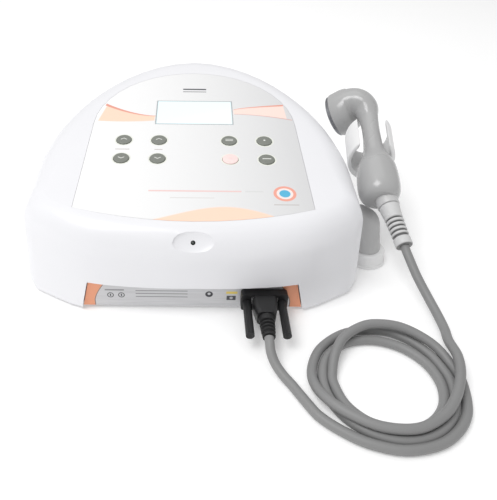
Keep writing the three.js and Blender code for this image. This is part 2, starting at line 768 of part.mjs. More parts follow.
const frameInner = [SWITCH_WIDTH - 2 * FRAME_EDGE, SWITCH_TALL - 2 * FRAME_EDGE];
const switchFace = rearFace + CLEARANCE + 1.6;
add(
  "rocker_frame",
  cut(
    join(
      rearBlock(
        SWITCH_WIDTH - 2 * CLEARANCE,
        SWITCH_TALL - 2 * CLEARANCE,
        rearFace - 12,
        rearFace + 1,
        SWITCH_X,
        rearMid,
      ),
      rearBlock(SWITCH_WIDTH + 2.4, SWITCH_TALL + 2.4, rearFace + CLEARANCE, switchFace, SWITCH_X, rearMid),
    ),
    rearBlock(...frameInner, rearFace - 10, rearFace + 9, SWITCH_X, rearMid),
  ),
  BLACK,
);

// The rocker is a wedge on a cross pivot, lying on its off side; its section is in Y and Z.
const ROCKER_TILT = 0.16;
const rockerHalf = frameInner[1] / 2 - 1;
const rockerShape = new THREE.Shape();
rockerShape.moveTo(-5, -2.5);
rockerShape.lineTo(-5, 2.5);
rockerShape.lineTo(1.2, rockerHalf);
rockerShape.lineTo(2.2, rockerHalf * 0.9);
rockerShape.lineTo(1.4, 0);
rockerShape.lineTo(2.2, -rockerHalf * 0.9);
rockerShape.lineTo(1.2, -rockerHalf);
rockerShape.closePath();
const rockerWidth = frameInner[0] - 2 * CLEARANCE;
const rocker = new THREE.ExtrudeGeometry(rockerShape, { depth: rockerWidth, bevelEnabled: false })
  .rotateY(Math.PI / 2)
  .rotateX(Math.PI / 2)
  .translate(-rockerWidth / 2, 0, 0)
  .rotateX(ROCKER_TILT)
  .translate(SWITCH_X, rearFace, rearMid);
add("rocker", rocker, BLACK);

// ---- Cradle ------------------------------------------------------------------------------------

// A point on the handset's line, a distance from its cable end.
const onHandle = (s) => HANDSET_END.clone().addScaledVector(HANDLE_DIRECTION, s);

const TONGUE_BOTTOM = 0.4;
const TONGUE_TOP = COVER_BOTTOM - CLEARANCE;
const tongueLength = FOOT_X - CRADLE_SCREW_X + 8;
const footDisc = turned(
  [
    [0, 0],
    [FOOT_RADIUS, 0],
    [FOOT_RADIUS, 2.4],
    [FOOT_RADIUS - 1, 3.2],
    [FOOT_RADIUS - 1.6, FOOT_HEIGHT - 1],
    [FOOT_RADIUS - 2.6, FOOT_HEIGHT],
    [0, FOOT_HEIGHT],
  ],
  24,
).translate(FOOT_X, FOOT_Y, 0);
const tongue = box(
  tongueLength,
  24,
  TONGUE_TOP - TONGUE_BOTTOM,
  FOOT_X - tongueLength / 2,
  FOOT_Y,
  TONGUE_BOTTOM,
);
add(
  "cradle_foot",
  cut(
    join(footDisc, tongue),
    ...CRADLE_SCREWS.map((dy) =>
      cylinder(SCREW_RADIUS + CLEARANCE, 10, CRADLE_SCREW_X, FOOT_Y + dy, TONGUE_BOTTOM + 0.6, 12),
    ),
  ),
  WHITE,
);
CRADLE_SCREWS.forEach((dy, i) => {
  const shank = TONGUE_BOTTOM + 0.6 + CLEARANCE;
  const profile = [
    [0, shank],
    [SCREW_RADIUS, shank],
    [SCREW_RADIUS, baseTop + CLEARANCE],
    [SCREW_HEAD, baseTop + CLEARANCE],
    [SCREW_HEAD, baseTop + CLEARANCE + 2],
    [0, baseTop + CLEARANCE + 2],
  ];
  add(`cradle_screw_${i + 1}`, turned(profile, 12).translate(CRADLE_SCREW_X, FOOT_Y + dy, 0), STEEL);
});

// The clip is a C in the upright plane, carried along the handle's line, so its ends are upright.
const clipOuter = CLIP_INNER + CLIP_WALL;
function clipSection() {
  const inside = Math.asin(CLIP_MOUTH / 2 / CLIP_INNER);
  const outside = Math.asin(CLIP_MOUTH / 2 / clipOuter);
  const top = Math.PI / 2;
  const shape = new THREE.Shape();
  shape.absarc(0, 0, clipOuter, top + outside, top + Math.PI * 2 - outside, false);
  shape.absarc(0, 0, CLIP_INNER, top - inside, top - Math.PI * 2 + inside, true);
  shape.closePath();
  return shape;
}
const clipEnd = onHandle(CLIP_START + CLIP_LENGTH);
const down = HANDLE_DIRECTION.clone().negate();
const shear = new THREE.Matrix4().makeBasis(
  new THREE.Vector3(1, 0, 0),
  new THREE.Vector3(0, 0, 1),
  down,
);
const clip = new THREE.ExtrudeGeometry(clipSection(), {
  depth: CLIP_LENGTH,
  bevelEnabled: false,
  curveSegments: 28,
})
  .applyMatrix4(shear)
  .translate(clipEnd.x + CLIP_ASIDE, clipEnd.y, clipEnd.z - CLIP_DROP);
add("cradle_clip", clip, WHITE);

// The post leans back from the foot to the clip's underside, which it fits.
const postTop = onHandle(CLIP_START + CLIP_LENGTH * 0.28);
const POST_RINGS = 8;
function postRing(t) {
  const z = THREE.MathUtils.lerp(FOOT_HEIGHT + CLEARANCE, postTop.z - CLIP_DROP, t);
  const x = THREE.MathUtils.lerp(FOOT_X - 1.5, postTop.x + CLIP_ASIDE, t);
  const y = THREE.MathUtils.lerp(FOOT_Y, postTop.y, t ** 1.15);
  const wide = POST_RADIUS + 1.5 * (2 * t - 1) ** 2;
  return Array.from({ length: 20 }, (_, i) => {
    const angle = (i / 20) * Math.PI * 2;
    return new THREE.Vector3(x + wide * Math.cos(angle), y + wide * Math.sin(angle), z);
  });
}
const postBody = skinned(Array.from({ length: POST_RINGS + 1 }, (_, i) => postRing(i / POST_RINGS)));
const clipSolid = new THREE.CylinderGeometry(clipOuter + CLEARANCE, clipOuter + CLEARANCE, 400, 56)
  .rotateX(Math.PI / 2)
  .applyMatrix4(
    new THREE.Matrix4().makeBasis(
      new THREE.Vector3(1, 0, 0),
      new THREE.Vector3(0, 0, 1),
      down,
    ),
  )
  .translate(postTop.x + CLIP_ASIDE, postTop.y, postTop.z - CLIP_DROP);
add("cradle_post", cut(postBody, clipSolid), WHITE);

// ---- Handset -----------------------------------------------------------------------------------

// The handset's own frame: z along the handle towards the head, x towards the treatment face.
const headDirection = HEAD_HINT.clone()
  .addScaledVector(HANDLE_DIRECTION, -HEAD_HINT.dot(HANDLE_DIRECTION))
  .normalize();
const HANDSET_FRAME = new THREE.Matrix4()
  .makeBasis(
    headDirection,
    HANDLE_DIRECTION.clone().cross(headDirection),
    HANDLE_DIRECTION,
  )
  .setPosition(HANDSET_END);
const onHandset = (geometry) => geometry.applyMatrix4(HANDSET_FRAME);

// Half thickness of the handset along its line: [distance, inner side, outer side, across].
// The inner side is the one that the neck bends towards.
const bendLength = (NECK_BEND * Math.PI) / 2;
const headStart = HANDLE_LENGTH + bendLength;
const handsetLength = headStart + HEAD_REACH;
const HANDSET_GIRTH = [
  [0, 10.5, 10.5, 10.5],
  [4, 14.6, 14.6, 14.6],
  [12, 17.3, 17.3, 17.3],
  [21, 18, 18, 18],
  [32, 17, 17, 17],
  [38, 15.6, 15.6, 15.6],
  [44, 13, 13, 13],
  [49, 10.6, 10.6, 10.6],
  [54, 9.2, 9.2, 9.2],
  [62, 8.2, 8.2, 8.2],
  [80, 7.6, 7.6, 7.6],
  [HANDLE_LENGTH, 8.2, 9, 8.8],
  [HANDLE_LENGTH + bendLength * 0.5, 9.5, 13, 13.5],
  [headStart, 11.5, 19.5, 18],
  [headStart + 4, 17, 22.4, 20.3],
  [headStart + 8, 21, 22.6, 21.3],
  [headStart + 11, HEAD_RADIUS, 22.2, HEAD_RADIUS],
  [handsetLength - 2, HEAD_RADIUS, HEAD_RADIUS, HEAD_RADIUS],
  [handsetLength, HEAD_RADIUS - 1, HEAD_RADIUS - 1, HEAD_RADIUS - 1],
];

// One ring across the handset's line: a section with its own reach to each side.
function handsetRing([distance, inner, outer, across], wall, sides) {
  const bend = THREE.MathUtils.clamp((distance - HANDLE_LENGTH) / NECK_BEND, 0, Math.PI / 2);
  const past = Math.max(distance - headStart, 0);
  const x = NECK_BEND * (1 - Math.cos(bend)) + past;
  const z = Math.min(distance, HANDLE_LENGTH) + NECK_BEND * Math.sin(bend);
  return Array.from({ length: sides }, (_, i) => {
    const angle = (i / sides) * Math.PI * 2;
    const sideways = Math.cos(angle) > 0 ? inner : outer;
    const r = (sideways - wall) * Math.cos(angle);
    const y = (across - wall) * Math.sin(angle);
    return new THREE.Vector3(x + r * Math.cos(bend), y, z - r * Math.sin(bend));
  });
}

const handsetSkin = (wall, stations, sides) =>
  skinned(stations.map((station) => handsetRing(station, wall, sides)));

const HANDSET_SIDES = 18;
const outerSkin = handsetSkin(0, HANDSET_GIRTH, HANDSET_SIDES);
const innerStations = [
  ...HANDSET_GIRTH.slice(1, -1),
  [handsetLength + 5, HEAD_RADIUS, HEAD_RADIUS, HEAD_RADIUS],
];
const BORE_RADIUS = 4.5;
const cavity = handsetSkin(HANDSET_WALL, innerStations, HANDSET_SIDES);

// The gland's own frame: z runs into the handset, along the cable.
const glandUp = GLAND_DIRECTION.clone().negate();
const glandSide = new THREE.Vector3(0, 0, 1).cross(glandUp).normalize();
const GLAND_FRAME = new THREE.Matrix4()
  .makeBasis(glandSide, glandUp.clone().cross(glandSide), glandUp)
  .setPosition(HANDSET_END.clone().add(GLAND_OFFSET));
const onGland = (geometry) => geometry.applyMatrix4(GLAND_FRAME);
const bore = onGland(cylinder(BORE_RADIUS, 20, 0, 0, -8, 16));
add("handset_body", cut(onHandset(cut(outerSkin, cavity)), bore), GREY);

// Pieces turned about the head's axis, placed by how far they lie past the bend.
const onHead = (geometry) =>
  onHandset(
    geometry.rotateY(Math.PI / 2).translate(NECK_BEND + HEAD_REACH, 0, HANDLE_LENGTH + NECK_BEND),
  );
const SEAL_INNER = FACE_RADIUS - 2.5;
const faceBack = CLEARANCE;
add(
  "transducer_face",
  onHead(
    turned(
      [
        [0, faceBack + 1.6],
        [FACE_RADIUS - 3.2, faceBack + 1.6],
        [FACE_RADIUS - 3.2, -6],
        [FACE_RADIUS - 2, -6],
        [FACE_RADIUS - 2, faceBack],
        [HEAD_RADIUS - 1.2, faceBack],
        [HEAD_RADIUS - 1.2, faceBack + 2.2],
        [HEAD_RADIUS - 2.4, faceBack + 3.2],
        [0, faceBack + 3.2],
      ],
      24,
    ),
  ),
  STEEL,
);
add(
  "crystal",
  onHead(cylinder(FACE_RADIUS - 5, 2, 0, 0, faceBack - 1, 24)),
  CERAMIC,
);
add(
  "head_seal",
  onHead(
    turned(
      [
        [FACE_RADIUS - 2 + CLEARANCE, -4],
        [HEAD_RADIUS - HANDSET_WALL - CLEARANCE, -4],
        [HEAD_RADIUS - HANDSET_WALL - CLEARANCE, -1.5],
        [FACE_RADIUS - 2 + CLEARANCE, -1.5],
        [FACE_RADIUS - 2 + CLEARANCE, -4],
      ],
      24,
    ),
  ),
  RUBBER,
);

// The gland's nut is shaped to the handle's end, off its centre, and the strain relief follows it.
const gland = turned(
  [
    [CORD_RADIUS + CLEARANCE, -NUT_LENGTH],
    [NUT_RADIUS, -NUT_LENGTH],
    [NUT_RADIUS, 4],
    [CORD_RADIUS + CLEARANCE, 4],
    [CORD_RADIUS + CLEARANCE, -NUT_LENGTH],
  ],
  6,
);
const handsetGrown = onHandset(handsetSkin(-CLEARANCE, HANDSET_GIRTH, HANDSET_SIDES));
add("gland_nut", cut(onGland(gland), handsetGrown), PALE_GREY);

const RELIEF_RIBS = 5;
const reliefTop = -CLEARANCE - NUT_LENGTH;
const reliefEnd = reliefTop - RELIEF_LENGTH;
function reliefProfile() {
  const points = [
    [0, reliefEnd],
    [6, reliefEnd],
    [7, reliefEnd + 1],
    [7, reliefEnd + 7],
  ];
  const first = reliefEnd + 8;
  const pitch = (RELIEF_LENGTH - 8 - 11) / RELIEF_RIBS;
  for (let i = 0; i < RELIEF_RIBS; i += 1) {
    const z = first + i * pitch;
    points.push([5.6, z], [5.6, z + pitch * 0.35]);
    points.push([7 + i * 0.15, z + pitch * 0.5], [7 + i * 0.15, z + pitch * 0.95]);
  }
  points.push([7.6, reliefTop - 10], [8.6, reliefTop - 1], [8.2, reliefTop], [0, reliefTop]);
  return points;
}
add("strain_relief", onGland(turned(reliefProfile(), 12)), PALE_GREY, true);

// ---- Plug --------------------------------------------------------------------------------------

const hoodBack = socketFace - 1.2;
const hoodFlange = hoodBack - 7;
const hoodFront = hoodBack - 24;
const HOOD_WIDTH = SOCKET_SCREWS + 9;
const HOOD_HEIGHT = 16;
const collarGap = 1.4;
const plugCollar = cut(
  facing(socketShape(collarGap), socketFace - 1.6, 7.2),
  facing(socketShape(CLEARANCE), socketFace + 5, 5 + SOCKET_REACH + CLEARANCE),
);
add("plug_shell", plugCollar, STEEL, true);

// The hood: a wide flange that the thumbscrews pass through, and a body that narrows to the boot.
const hoodSections = [
  [hoodFlange + 0.5, 19, 15.5],
  [hoodFlange - 5, 18.6, 15],
  [hoodFront + 4, 16, 14.5],
  [hoodFront, 14, 13.5],
];
function hoodRing([y, width, height]) {
  const corner = 4;
  return softBox(width, height, corner)
    .extractPoints(4)
    .shape.slice(0, -1)
    .map((p) => new THREE.Vector3(SOCKET_X + p.x, y, SOCKET_Z + p.y));
}
const hoodBody = skinned(hoodSections.map(hoodRing));
const hoodPlate = facing(softBox(HOOD_WIDTH, HOOD_HEIGHT, 3), hoodBack, 7, 4);
const THUMB_RADIUS = 3.3;
const THUMB_SIDES = 12;
const shankRadius = 1.2;
const hoodNutRoom = [-1, 1].map((side) =>
  along(JACK_NUT_RADIUS + 0.6, hoodBack + 5, socketFace - SOCKET_REACH - 0.6, (side * SOCKET_SCREWS) / 2),
);
const hoodShankRoom = [-1, 1].map((side) =>
  along(shankRadius + 0.3, hoodBack + 5, hoodFlange - 5, (side * SOCKET_SCREWS) / 2),
);
add(
  "plug_hood",
  cut(
    join(hoodPlate, hoodBody),
    facing(socketShape(collarGap + CLEARANCE), hoodBack + 5, 5 + 8.2),
    ...hoodNutRoom,
    ...hoodShankRoom,
  ),
  BLACK,
  true,
);

for (const [name, side] of [
  ["thumbscrew_left", -1],
  ["thumbscrew_right", 1],
]) {
  const dx = (side * SOCKET_SCREWS) / 2;
  const knobStart = hoodFlange - CLEARANCE;
  const knobEnd = hoodFront - 18;
  const knob = along(THUMB_RADIUS, knobStart, knobEnd, dx, THUMB_SIDES);
  const shank = along(shankRadius, socketFace - SOCKET_REACH - 0.2, knobStart - 1, dx, 10);
  add(name, join(knob, shank), BLACK, true);
}

const BOOT_LENGTH = 19;
const BOOT_RIBS = 4;
const bootProfile = [
  [0, 0],
  [4.8, 0],
  [5, 2],
  ...Array.from({ length: BOOT_RIBS }, (_, i) => {
    const z = 3 + (i * (BOOT_LENGTH - 6)) / BOOT_RIBS;
    return [
      [4.2, z],
      [4.2, z + 1],
      [5.4 + 0.2 * i, z + 1.6],
      [5.4 + 0.2 * i, z + 2.8],
    ];
  }).flat(),
  [6.4, BOOT_LENGTH],
  [0, BOOT_LENGTH],
];
const bootEnd = hoodFront - CLEARANCE - BOOT_LENGTH;
const boot = turned(bootProfile, 12)
  .rotateX(-Math.PI / 2)
  .translate(SOCKET_X, bootEnd, SOCKET_Z);
add("plug_boot", boot, BLACK, true);

// ---- Lead --------------------------------------------------------------------------------------

const onTable = CORD_RADIUS + 0.1;
const leadStart = new THREE.Vector3(0, 0, reliefEnd - CLEARANCE).applyMatrix4(GLAND_FRAME);
const leadWay = GLAND_DIRECTION;
const leadPoints = [
  leadStart,
  leadStart.clone().addScaledVector(leadWay, 8),
  new THREE.Vector3(180, -110, 22),
  new THREE.Vector3(187, -123, 12),
  new THREE.Vector3(191.5, -136, 7),
  new THREE.Vector3(192, -150, 6.5),
];
const coilMiddle = new THREE.Vector2(COIL_X, COIL_Y);
const coilPoint = (angle, gap, z) =>
  new THREE.Vector3(
    coilMiddle.x + (COIL_OUTER + gap) * Math.cos(angle),
    coilMiddle.y + (COIL_OUTER + gap) * Math.sin(angle),
    z,
  );
const leadLands = coilPoint(0.6, 5, 8);
add("cord_lead", bar([...leadPoints, leadLands], CORD_RADIUS, 12, 8), LEAD_GREY, true);

const coil = turned(
  [
    [COIL_INNER, 0.2],
    [COIL_OUTER - 3, 0.2],
    [COIL_OUTER, 3],
    [COIL_OUTER, COIL_HEIGHT - 5],
    [COIL_OUTER - 5, COIL_HEIGHT],
    [COIL_INNER + 4, COIL_HEIGHT],
    [COIL_INNER, COIL_HEIGHT - 4],
    [COIL_INNER, 0.2],
  ],
  32,
).translate(COIL_X, COIL_Y, 0);
add("cord_coil", coil, LEAD_GREY, true);

const tailStart = new THREE.Vector3(SOCKET_X, bootEnd - CLEARANCE, SOCKET_Z);
const tailPoints = [
  tailStart,
  new THREE.Vector3(SOCKET_X, bootEnd - 5, SOCKET_Z - 0.4),
  new THREE.Vector3(SOCKET_X + 0.6, bootEnd - 11, SOCKET_Z - 5),
  new THREE.Vector3(SOCKET_X + 3, bootEnd - 18, onTable + 3.4),
  new THREE.Vector3(SOCKET_X + 8, bootEnd - 26, onTable + 0.4),
  new THREE.Vector3(SOCKET_X + 13.5, bootEnd - 33, onTable),
];
const tailLands = coilPoint(Math.PI + 0.05, 2.6, onTable);
add("cord_tail", bar([...tailPoints, tailLands], CORD_RADIUS, 8, 8), LEAD_GREY, true);

// ---- Origin ------------------------------------------------------------------------------------

// The device stands on z = 0 with the middle of its own pieces, cord apart, over the origin.
const extent = new THREE.Box3();
const ownPieces = device.children.filter((mesh) => !cordNames.has(mesh.name));
ownPieces.forEach((mesh) => extent.expandByObject(mesh, true));
const centre = extent.getCenter(new THREE.Vector3());
device.position.set(-centre.x, -centre.y, -extent.min.z);

export default device;
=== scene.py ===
import json
import math

import bpy
import numpy as np
from mathutils import Euler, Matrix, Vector

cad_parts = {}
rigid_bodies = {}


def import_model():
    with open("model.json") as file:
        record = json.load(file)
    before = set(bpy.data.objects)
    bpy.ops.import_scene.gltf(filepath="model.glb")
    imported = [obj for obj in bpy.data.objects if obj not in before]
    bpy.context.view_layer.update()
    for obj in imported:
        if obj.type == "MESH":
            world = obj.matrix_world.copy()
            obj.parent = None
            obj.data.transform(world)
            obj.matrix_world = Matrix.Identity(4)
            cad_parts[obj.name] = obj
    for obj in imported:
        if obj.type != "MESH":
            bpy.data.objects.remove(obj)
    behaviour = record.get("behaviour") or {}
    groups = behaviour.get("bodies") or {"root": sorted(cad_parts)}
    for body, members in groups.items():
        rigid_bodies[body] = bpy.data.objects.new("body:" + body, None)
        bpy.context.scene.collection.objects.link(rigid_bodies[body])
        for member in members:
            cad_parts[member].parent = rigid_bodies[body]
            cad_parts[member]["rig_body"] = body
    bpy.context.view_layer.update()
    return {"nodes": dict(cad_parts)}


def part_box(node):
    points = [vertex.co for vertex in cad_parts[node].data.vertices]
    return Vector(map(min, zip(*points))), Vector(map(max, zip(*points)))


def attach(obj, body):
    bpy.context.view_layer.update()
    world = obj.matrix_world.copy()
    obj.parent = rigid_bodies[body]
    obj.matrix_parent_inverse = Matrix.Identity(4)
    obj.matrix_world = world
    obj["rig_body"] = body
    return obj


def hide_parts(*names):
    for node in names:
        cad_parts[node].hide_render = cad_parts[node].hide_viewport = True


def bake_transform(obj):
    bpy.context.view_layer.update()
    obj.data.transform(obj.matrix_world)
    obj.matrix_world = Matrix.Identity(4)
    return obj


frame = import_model()


# ---- Where the console stands ------------------------------------------------------------------
# The console's own middle plane, and the line that its depths are counted from. Sizes below are in
# millimetres from there, as on a drawing of the console, and at() turns them into the row frame.

window_low, window_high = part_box("lcd_window")
PANEL_FACE = -124.5
ORIGIN = np.array(
    [(window_low.x + window_high.x) / 2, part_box("connector_panel")[0].y - PANEL_FACE / 1000, 0.0]
)


def at(points):
    """Millimetres on the console's drawing, turned into metres in the row frame."""
    return np.asarray(points, float) / 1000 + ORIGIN


# ---- Camera, light and table -------------------------------------------------------------------
# A shop table in a white room: the viewer stands in front and looks down at about 38 degrees. Broad
# soft light comes from the upper left, so the right front falls into a pale grey shade.

CAMERA_BACK, CAMERA_UP = -447, 308
LOOK_DOWN, ROLL = 37.6, 0.6
camera_data = bpy.data.cameras.new("camera")
camera_data.sensor_fit = "HORIZONTAL"
camera_data.lens = camera_data.sensor_width * 552 / 497
camera_data.shift_x = 55.5 / 497
camera = bpy.data.objects.new("camera", camera_data)
bpy.context.scene.collection.objects.link(camera)
camera.location = at((0, CAMERA_BACK, CAMERA_UP))
turn = Euler((math.radians(90 - LOOK_DOWN), 0, 0)).to_matrix()
camera.rotation_euler = (turn @ Euler((0, 0, math.radians(ROLL))).to_matrix()).to_euler()
bpy.context.scene.camera = camera


class Wire:
    """A socket in a material's tree: + - * / and ** on wires and numbers add Math nodes."""

    def __init__(self, tree, socket):
        self.tree = tree
        self.socket = socket

    def node(self, kind, settings, values, output=0):
        """Any other node: its settings are set first, then the values or wires of its sockets."""
        made = self.tree.nodes.new(kind)
        for name, value in settings.items():
            if name == "stops":
                ramp = made.color_ramp.elements
                while len(ramp) < len(value):
                    ramp.new(0.5)
                for element, (position, colour) in zip(ramp, value):
                    element.position = position
                    element.color = (*colour, 1)
            else:
                setattr(made, name, value)
        for key, value in values.items():
            if isinstance(value, Wire):
                self.tree.links.new(value.socket, made.inputs[key])
            else:
                made.inputs[key].default_value = value
        return Wire(self.tree, made.outputs[output])

    def maths(self, operation, *values):
        return self.node("ShaderNodeMath", {"operation": operation}, dict(enumerate(values)))

    def __add__(self, other):
        return self.maths("ADD", self, other)

    def __sub__(self, other):
        return self.maths("SUBTRACT", self, other)

    def __mul__(self, other):
        return self.maths("MULTIPLY", self, other)

    def __truediv__(self, other):
        return self.maths("DIVIDE", self, other)

    def __pow__(self, other):
        return self.maths("POWER", self, other)

    def __radd__(self, other):
        return self.maths("ADD", other, self)

    def __rsub__(self, other):
        return self.maths("SUBTRACT", other, self)

    def __rmul__(self, other):
        return self.maths("MULTIPLY", other, self)

    def __abs__(self):
        return self.maths("ABSOLUTE", self)

    def least(self, other):
        return self.maths("MINIMUM", self, other)

    def most(self, other):
        return self.maths("MAXIMUM", self, other)

    def inside(self, soft):
        """1 where the value is above zero, 0 below, over a soft edge of that width."""
        return self.node(
            "ShaderNodeMapRange",
            {"interpolation_type": "SMOOTHSTEP"},
            {0: self, 1: -soft / 2, 2: soft / 2, 3: 0.0, 4: 1.0},
        )

    def split(self):
        """The x, y and z of a vector."""
        parts = self.node("ShaderNodeSeparateXYZ", {}, {0: self})
        return [Wire(self.tree, socket) for socket in parts.socket.node.outputs]

    def tint(self, under, over):
        """The colour under where this mask is 0, and over where it is 1."""
        return self.node("ShaderNodeMix", {"data_type": "RGBA"}, {0: self, 6: under, 7: over}, 2)

    def noise(self, scale, detail=3.0, rough=0.5):
        """Soft noise of 0 to 1 over the place that this wire holds, in waves of 1 / scale metres."""
        return self.node(
            "ShaderNodeTexNoise", {}, {"Vector": self, "Scale": scale, "Detail": detail, "Roughness": rough}
        )

    def bump(self, height, depth, strength=1.0):
        return self.node(
            "ShaderNodeBump", {}, {"Height": height, "Distance": depth, "Strength": strength}
        )


def rgb(code):
    """A colour from its six hex digits, as linear red, green, blue and 1."""
    parts = [int(code[i : i + 2], 16) / 255 for i in (0, 2, 4)]
    linear = [c / 12.92 if c <= 0.04045 else ((c + 0.055) / 1.055) ** 2.4 for c in parts]
    return (*linear, 1.0)


def finish(name, recipe):
    """A Principled material. The recipe takes the Object place and gives the sockets' values."""
    made = bpy.data.materials.new(name)
    made.use_nodes = True
    tree = made.node_tree
    shader = tree.nodes["Principled BSDF"]
    place = Wire(tree, tree.nodes.new("ShaderNodeTexCoord").outputs["Object"])
    for socket, value in recipe(place).items():
        if isinstance(value, Wire):
            tree.links.new(value.socket, shader.inputs[socket])
        else:
            shader.inputs[socket].default_value = value
    return made


def shade(code, amount):
    """The colour of that code, a little lighter or darker."""
    return tuple(min(1.0, c * (1 + amount)) for c in rgb(code)[:3]) + (1.0,)


def moulded(code, roughness, grain=900.0, depth=0.00002, uneven=0.04, **more):
    """Moulded plastic: a faintly uneven colour and gloss, and a fine spark-eroded grain."""

    def recipe(place):
        cloud = place.noise(22.0, 4.0)
        fine = place.noise(grain, 2.0)
        return {
            "Base Color": cloud.tint(shade(code, -uneven), shade(code, uneven)),
            "Roughness": roughness - 0.06 + 0.12 * cloud,
            "Normal": place.bump(fine, depth, 0.6),
            **more,
        }

    return recipe


world = bpy.data.worlds.new("white_room")
world.use_nodes = True
world.node_tree.nodes["Background"].inputs["Color"].default_value = (1, 1, 1, 1)
world.node_tree.nodes["Background"].inputs["Strength"].default_value = 0.55
bpy.context.scene.world = world
bpy.context.scene.view_settings.view_transform = "Standard"


def softbox(name, place, target, size, power):
    """A square soft light at a place, turned to its target; both on the console's drawing."""
    data = bpy.data.lights.new(name, "AREA")
    data.size = size
    data.energy = power
    lamp = bpy.data.objects.new(name, data)
    bpy.context.scene.collection.objects.link(lamp)
    lamp.location = at(place)
    lamp.rotation_euler = Vector(at(target) - at(place)).to_track_quat("-Z", "Y").to_euler()


softbox("key_light", (-950, -700, 2150), (0, 0, 30), 1.3, 31.0)
softbox("top_light", (-150, 500, 1300), (0, 0, 30), 1.2, 3.0)

floor_mesh = bpy.data.meshes.new("table")
FAR = 6
corners = [(-FAR, -FAR, -0.0002), (FAR, -FAR, -0.0002), (FAR, FAR, -0.0002), (-FAR, FAR, -0.0002)]
floor_mesh.from_pydata(corners, [], [(0, 1, 2, 3)])
floor = bpy.data.objects.new("table", floor_mesh)
bpy.context.scene.collection.objects.link(floor)
floor_mesh.materials.append(
    finish(
        "table_white",
        lambda place: {
            "Base Color": (0.9, 0.9, 0.9, 1),
            "Roughness": 0.9,
            "Specular IOR Level": 0.1,
            "Emission Color": (1, 1, 1, 1),
            "Emission Strength": 0.17,
        },
    )
)


# ---- Lead --------------------------------------------------------------------------------------
# A round screened cable with a soft grey jacket. It leaves the handset's strain relief, falls to the
# table, lies there in a loose coil of about three turns and ends in the plug's boot.

CORD_DIAMETER = 7.0


def smooth_path(knots, step):
    """A Catmull-Rom curve through the knots, then points a step apart along it."""
    knots = np.asarray(knots, float)
    ends = np.vstack([2 * knots[0] - knots[1], knots, 2 * knots[-1] - knots[-2]])
    t = np.linspace(0, 1, 24, endpoint=False)[None, :, None]
    a, b, c, d = (ends[i : len(ends) - 3 + i, None, :] for i in range(4))
    curve = 0.5 * (
        2 * b + (c - a) * t + (2 * a - 5 * b + 4 * c - d) * t**2 + (3 * b - a - 3 * c + d) * t**3
    )
    wide = knots.shape[1]
    curve = np.vstack([curve.reshape(-1, wide), knots[-1]])
    along = np.concatenate([[0], np.cumsum(np.linalg.norm(np.diff(curve, axis=0), axis=1))])
    even = np.linspace(0, along[-1], int(along[-1] / step) + 1)
    return np.stack([np.interp(even, along, curve[:, k]) for k in range(wide)], axis=1)


def surface(name, rings, caps=(True, True), crease=40, close=True):
    """A mesh over rings of points, all with as many: each joins the next, and a cap closes an end
    ring with a fan to its middle. Edges sharper than the crease, in degrees, stay sharp."""
    rings = np.asarray(rings, float)
    count, sides = rings.shape[:2]
    verts = rings.reshape(-1, 3)
    row, col = np.meshgrid(np.arange(count - 1), np.arange(sides if close else sides - 1), indexing="ij")
    after = (col + 1) % sides
    quads = np.stack(
        [row * sides + col, row * sides + after, (row + 1) * sides + after, (row + 1) * sides + col], axis=-1
    )
    faces = quads.reshape(-1, 4).tolist()
    around = np.arange(sides)
    for cap, base, order in zip(caps, (0, (count - 1) * sides), (1, -1)):
        if cap:
            middle = len(verts)
            verts = np.vstack([verts, verts[base : base + sides].mean(axis=0)])
            pairs = np.stack([base + (around + 1) % sides, base + around], axis=1)[:, ::order]
            faces += np.column_stack([pairs, np.full(sides, middle)]).tolist()
    mesh = bpy.data.meshes.new(name)
    mesh.from_pydata(at(verts).tolist(), [], faces)
    mesh.shade_smooth()
    mesh.set_sharp_from_angle(angle=math.radians(crease))
    piece = bpy.data.objects.new(name, mesh)
    bpy.context.scene.collection.objects.link(piece)
    return piece


def tube(name, path, radius, sides):
    """A round tube: rings of a radius about a path, carried along without twisting."""
    ways = np.gradient(path, axis=0)
    ways /= np.linalg.norm(ways, axis=1)[:, None]
    up = np.tile([0.0, 0.0, 1.0], (len(path), 1))
    side = np.cross(ways, up + 1e-3 * ways)
    side /= np.linalg.norm(side, axis=1)[:, None]
    over = np.cross(side, ways)
    turns = np.linspace(0, 2 * math.pi, sides, endpoint=False)
    ring = np.cos(turns)[None, :, None] * side[:, None, :] + np.sin(turns)[None, :, None] * over[:, None, :]
    return surface(name, path[:, None, :] + radius * ring, crease=60)


# The route, in millimetres: down from the strain relief, then the coil as (turned clockwise from the
# right, in degrees; distance from the coil's middle; height), then up to the plug's boot.
FALL = [
    (173.0, -86.7, 36.2),
    (174.1, -94.1, 33.4),
    (179, -110, 24),
    (185, -126, 15.5),
    (188.6, -141, 11),
    (188.9, -155, 10.4),
]
COIL_MIDDLE = (135, -201)
ON_TABLE = 3.6


def flat_turn(first, last, radius):
    """Knots every 30 degrees on the table, at one distance from the coil's middle."""
    return [(degrees, radius, ON_TABLE) for degrees in range(first, last + 1, 30)]


